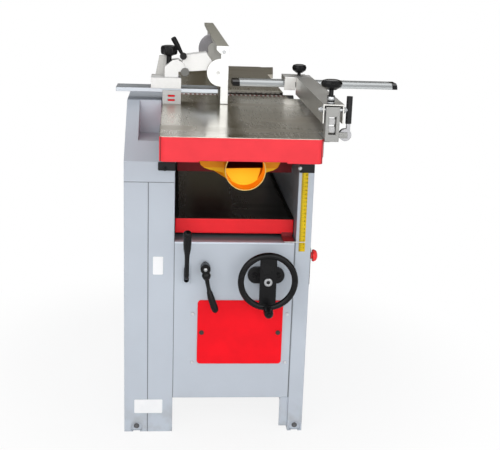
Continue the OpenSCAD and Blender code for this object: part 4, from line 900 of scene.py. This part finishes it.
# %% Plates in place
blank = moulded("blank_plate", (0.90, 0.91, 0.92), 0.35, 300.0, 0.00004)
SHEET_THICK, BLANKS = 0.8, {(26, 48): (-0.1573, FRONT, 0.463), (74, 39): (-0.1802, FRONT, 0.073)}
blank_plates = [rounded_plate(size, 3, SHEET_THICK, centre) for size, centre in BLANKS.items()]
add_piece("blank_plates", blank_plates, blank, "machine")
slot_at = (FEED[0] / 1000, FRONT, FEED[2] / 1000 + 0.005)
lever_slot = slot_plate((22, 52, 5), (12.8, 43.2, 6.3), SHEET_THICK, slot_at)
add_piece("lever_slot_plate", [lever_slot], cabinet_paint, "machine")

BRACKET_LOW, POST_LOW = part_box("rail_bracket")[0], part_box("guard_bracket")[0]
INSERTS_UP, LATCHES_AT = (0.0105, 0.0215), (0.870, 0.887)
INSERT_X, INSERT_Y = BRACKET_LOW.x + 0.023, BRACKET_LOW.y + 0.0055
inserts = [rounded_plate((17.6, 4.6), 1.2, 3.0, (INSERT_X, INSERT_Y, TABLE_TOP + z)) for z in INSERTS_UP]
add_piece("rail_bracket_inserts", inserts, plate_red, "machine")
LATCH_X, LATCH_Y = PIVOT[0] - 0.002, POST_LOW.y + 0.012
latches = [rounded_plate((14.5, 12.5), 2.0, 5.0, (LATCH_X, LATCH_Y, z)) for z in LATCHES_AT]
add_piece("post_latches", latches, cast_aluminium, "machine")

# %% [markdown]
# Under the table the top of both columns' fronts lies in the table's shadow. A black plate on each
# side stands there as painted shadow, in the look of the brackets that carry the tables, with a
# socket screw on the left.

# %% Painted shadow plates
LEFT_X, RIGHT_X, SHADOW_PLATE_Z = -0.1375, 0.5 * (COLUMN_LOW.x + COLUMN_HIGH.x), COLUMN_HIGH.z - 0.0108
shadow_plates = [rounded_plate((wide, 21), 2, 5, (x, FRONT, SHADOW_PLATE_Z), edge=0.8)
                  for wide, x in ((43, LEFT_X), (38, RIGHT_X))]
socket = socket_head(4.5, (LEFT_X - 0.005, FRONT - 0.005, SHADOW_PLATE_Z - 0.0057))
add_piece("table_shadow_plates", [*shadow_plates, socket], black_iron, "machine")

# %% [markdown]
# ## The fence's star knob
# A moulded star knob has six soft lobes and rounded edges. It is a turned shape whose rings are
# pulled in between the lobes by a cosine of the angle, most at the waist and less at the
# crown, over a plain stem.

# %% Star knob
def lobed(profile, lobes, depth, centre, sides=96):
    """Rings about Z of (radius, height) in mm: r (1 - depth (1 - cos(n t)) / 2), fading on the small
    top rings."""
    t = np.linspace(0, 2 * np.pi, sides, endpoint=False)[None, :]
    r, h = (np.array(profile, float).T / 1000)[:, :, None]
    r = r * (1 - depth * np.clip(r / r.max(), 0, 1) ** 2 * (0.5 - 0.5 * np.cos(lobes * t)))
    return skin_rings(np.asarray(centre) + np.stack([r * np.cos(t), r * np.sin(t), h + 0 * t], -1))


STAR_X, STAR_Y = hinge["fence_knob_turn"][0][:2]
STAR_FOOT, STAR_TOP = (corner.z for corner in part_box("fence_knob"))
STAR = [(7.0, -29), (9.5, -27.5), (14, -26), (19, -24.5), (21.2, -22), (21.9, -17), (21.9, -9), (21.0, -5),
        (18.5, -2.4), (14, -1.2), (8, -0.5), (0.1, 0)]
STEM = [(6.9, 0), (6.9, 1000 * (STAR_TOP - STAR_FOOT) - 27.5)]
star = lobed(STAR, 6, 0.24, (STAR_X, STAR_Y, STAR_TOP))
stem = turned(STEM, (STAR_X, STAR_Y, STAR_FOOT), UPWARD, 32)
star_knob = add_piece("fence_star_knob", [star, stem], black_plastic, "fence_knob", 50)
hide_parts("fence_knob")

# %% [markdown]
# ## Feet and fence end
# A painted plate with a bolt through it closes the notch in each foot, so it shows metal and not
# a hole. Below the front panel the right leg's edge is folded inwards, and a narrow plate stands
# for that flange. A cap screw holds the fence's extrusion together at its end.

# %% Foot plates, flange and fence screw
FOOT_X, FOOT_Z, WALL_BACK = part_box("levelling_bolts")[1].x - 0.0105, 0.0155, -FRONT - 0.003
PLATE_BACK, PLATE_Z = WALL_BACK - 0.0015, 0.0166
corners = [(side * FOOT_X, end) for side in (-1, 1) for end in (-1, 1)]
foot_plates = [rounded_plate((34, 27), 2, 1.5, (x, -end * PLATE_BACK, PLATE_Z), (0, -end, 0), (end, 0, 0))
               for x, end in corners]
add_piece("foot_plates", foot_plates, cabinet_paint, "machine")
foot_bolts = [shell for x, end in corners
              for shell in hex_head(4.5, (x, -end * WALL_BACK, FOOT_Z), (0, -end, 0))]
add_piece("foot_bolts", foot_bolts, grey_iron, "machine")
FLANGE_AT = (COLUMN_LOW.x - 0.011, FRONT + 0.0065, 0.0725)
flange = rounded_plate((24, 120), 1.5, 2, FLANGE_AT)
add_piece("leg_flange", [flange], cabinet_paint, "machine")
fence_screw = socket_head(4.2, (FENCE_FACE - 0.0125, FENCE_END, TABLE_TOP + 0.136))
add_piece("fence_end_screw", [fence_screw], zinc, "fence")

# %% [markdown]
# ## The fence's tilt arc
# The arc behind the fence is a rough grey casting, broader than the solid's slim rim. It is a
# rectangle with cut corners, carried round part of a circle about the arc's own centre, and it
# closes over the rim.

# %% Tilt arc
FENCE_WEB, ARC_Y, ARC_DROP = 0.020, 0.253, 0.047
ARC_CENTRE = np.array([FENCE_FACE - FENCE_WEB, ARC_Y, FENCE_HIGH.z - ARC_DROP])
ARC_RADII, ARC_THICK, ARC_CUT, ARC_SPAN = (18.0, 46.6), 7.0, 0.8, (0.02, 2.15)


def swept_arc(radii, thick, cut, span, centre):
    """A rectangle (r, y) in mm with cut corners, carried from the top to the left:
    centre + r (-sin a, 0, cos a) + y."""
    r0, r1, h = radii[0], radii[1], thick / 2
    r = np.array([r0 + cut, r1 - cut, r1, r1, r1 - cut, r0 + cut, r0, r0]) / 1000
    y = np.array([-h, -h, cut - h, h - cut, h, h, h - cut, cut - h]) / 1000
    a = np.linspace(*span, 56)[:, None]
    return skin_rings(centre + np.stack([-r * np.sin(a), y + 0 * a, r * np.cos(a)], -1))


arc_casting = metal("arc_casting", (0.37, 0.36, 0.385), 0.5, ALL_WAYS, 120.0, 0.0002, 0.0015, 0.6, 0.75)
tilt_arc = swept_arc(ARC_RADII, ARC_THICK, ARC_CUT, ARC_SPAN, ARC_CENTRE)
add_piece("fence_tilt_arc", [tilt_arc], arc_casting, "fence")

# %% [markdown]
# ## Height knob's nut
# Between the knob's black stem and the arm sits a bright ball nut. It turns with the knob, so it
# is a turned profile on the knob joint's own axis.

# %% Ball nut
ABOVE_PIVOT = 0.0125
BALL = [(6.5, 0), (8.2, 1.0), (8.4, 3.5), (6.2, 5.0), (6.6, 6.0), (8.6, 8.0), (9.2, 10.5), (8.9, 13.0),
        (8.1, 15.0), (7.9, 15.4)]
KNOB_AT, KNOB_AXIS = hinge["guard_height_turn"]
KNOB_AXIS = KNOB_AXIS / np.linalg.norm(KNOB_AXIS)
stem_foot = KNOB_AT + KNOB_AXIS * (ABOVE_PIVOT - np.dot(KNOB_AT - PIVOT, KNOB_AXIS))
ball_nut = turned(BALL, stem_foot, KNOB_AXIS, 32)
add_piece("height_ball_nut", [ball_nut], zinc, "guard_height_knob", 40)

# %% [markdown]
# ## Numbers on the scale
# A height scale has its centimetres printed beside the long lines. Text is drawn flat by
# Blender, made a mesh, and only then moved into place in its vertices, so that the object
# itself stays at the origin like every other piece.

# %% Centimetre figures
def figure(text, size, centre):
    """The text as points and faces, standing upright and facing the front."""
    curve = bpy.data.curves.new("figure", "FONT")
    curve.body, curve.size, curve.extrude = text, size, 0.0002
    curve.align_x = curve.align_y = "CENTER"
    shown = bpy.data.objects.new("figure", curve)
    mesh = bpy.data.meshes.new_from_object(shown)
    flat = np.empty(3 * len(mesh.vertices))
    mesh.vertices.foreach_get("co", flat)
    flat = flat.reshape(-1, 3)
    faces = [list(p.vertices) for p in mesh.polygons]
    bpy.data.objects.remove(shown)
    bpy.data.curves.remove(curve)
    bpy.data.meshes.remove(mesh)
    return np.stack([flat[:, 0], -flat[:, 2], flat[:, 1]], -1) + centre, faces


FIGURE_SIZE, FIGURE_X, LAST_CM = 0.0068, SCALE_LOW.x + 0.0122, 21
figures = [figure(str(cm), FIGURE_SIZE, (FIGURE_X, SCALE_LOW.y, SCALE_LOW.z + cm / 100))
           for cm in range(1, LAST_CM + 1)]
add_piece("scale_figures", figures, black_plastic, "machine")

# %% [markdown]
# ## The stage
# A pale floor under the machine keeps its soft shadow, and a little way off it turns plain white
# for eye, mirror and glass rays, like the photograph's surround. Brown cards hang behind the
# machine and beside it, and a paler grey one far in front, all seen by mirror rays alone: ground
# iron shows what stands round it, and without something darker there the table tops would vanish
# into the white.

# %% Floor
def stage_sheet(name, corners, finish):
    """A flat sheet of four corners, for the stage."""
    made = new_object(name, corners, [(0, 1, 2, 3)], finish)
    return made


floor_skin = Finish("floor_white", roughness=0.9, specular_ior_level=0.1)
pale = floor_skin.blend(floor_skin.noise(0.7, 3.0), (0.97, 0.97, 0.97), (0.95, 0.95, 0.955))
floor_skin.set(base_color=pale)
NEAR_SHARE, SHADOW_END, WHITE_FROM = 0.87, 0.45, 1.0
out_by = floor_skin.node("VectorMath", {"operation": "LENGTH"}, {0: floor_skin.place}, "Value")
far = NEAR_SHARE + (1 - NEAR_SHARE) * out_by.rise(SHADOW_END, WHITE_FROM)
plain = floor_skin.node("Emission", {}, {"Color": WHITE, "Strength": 1.0})
shaded = Sock(floor_skin, floor_skin.shader.outputs[0])
shown = floor_skin.node("MixShader", {}, {0: far * floor_skin.seen(), 1: shaded, 2: plain})
floor_skin.put(floor_skin.tree.nodes["Material Output"].inputs[0], shown)
FLOOR, SQUARE = 30.0, ((-1, -1), (1, -1), (1, 1), (-1, 1))
stage_sheet("floor", [(a * FLOOR, b * FLOOR, 0) for a, b in SQUARE], floor_skin)
print("floor:", 2 * FLOOR, "m square")


# %% Cards round the machine
def card_finish(name, first, second, **extra):
    """Dull card between two tones."""
    skin = Finish(name, roughness=1.0, specular_ior_level=0.0, **extra)
    return skin.set(base_color=skin.blend(skin.noise(1.5, 3.0), first, second))


brown = card_finish("card_brown", (0.150, 0.130, 0.092), (0.115, 0.100, 0.070))
grey = card_finish("card_grey", (0.10, 0.10, 0.10), (0.08, 0.08, 0.08), emission_color=(0.30, 0.29, 0.27),
                   emission_strength=1.0)
CARD_LOW, CARD_HIGH = 0.8, 2.8
CARDS = {"card_behind": ((-3.4, 3.4), (3.4, 3.4), brown), "card_left": ((-3.6, -0.6), (-3.4, 3.4), brown),
         "card_right": ((3.4, 3.4), (3.6, -0.6), brown), "card_front": ((5.0, -5.5), (-5.0, -5.5), grey)}
for name, (start, end, skin) in CARDS.items():
    edges = [(*start, CARD_LOW), (*end, CARD_LOW), (*end, CARD_HIGH), (*start, CARD_HIGH)]
    card = stage_sheet(name, edges, skin)
    card.visible_camera = card.visible_diffuse = card.visible_shadow = False
print("cards:", list(CARDS))
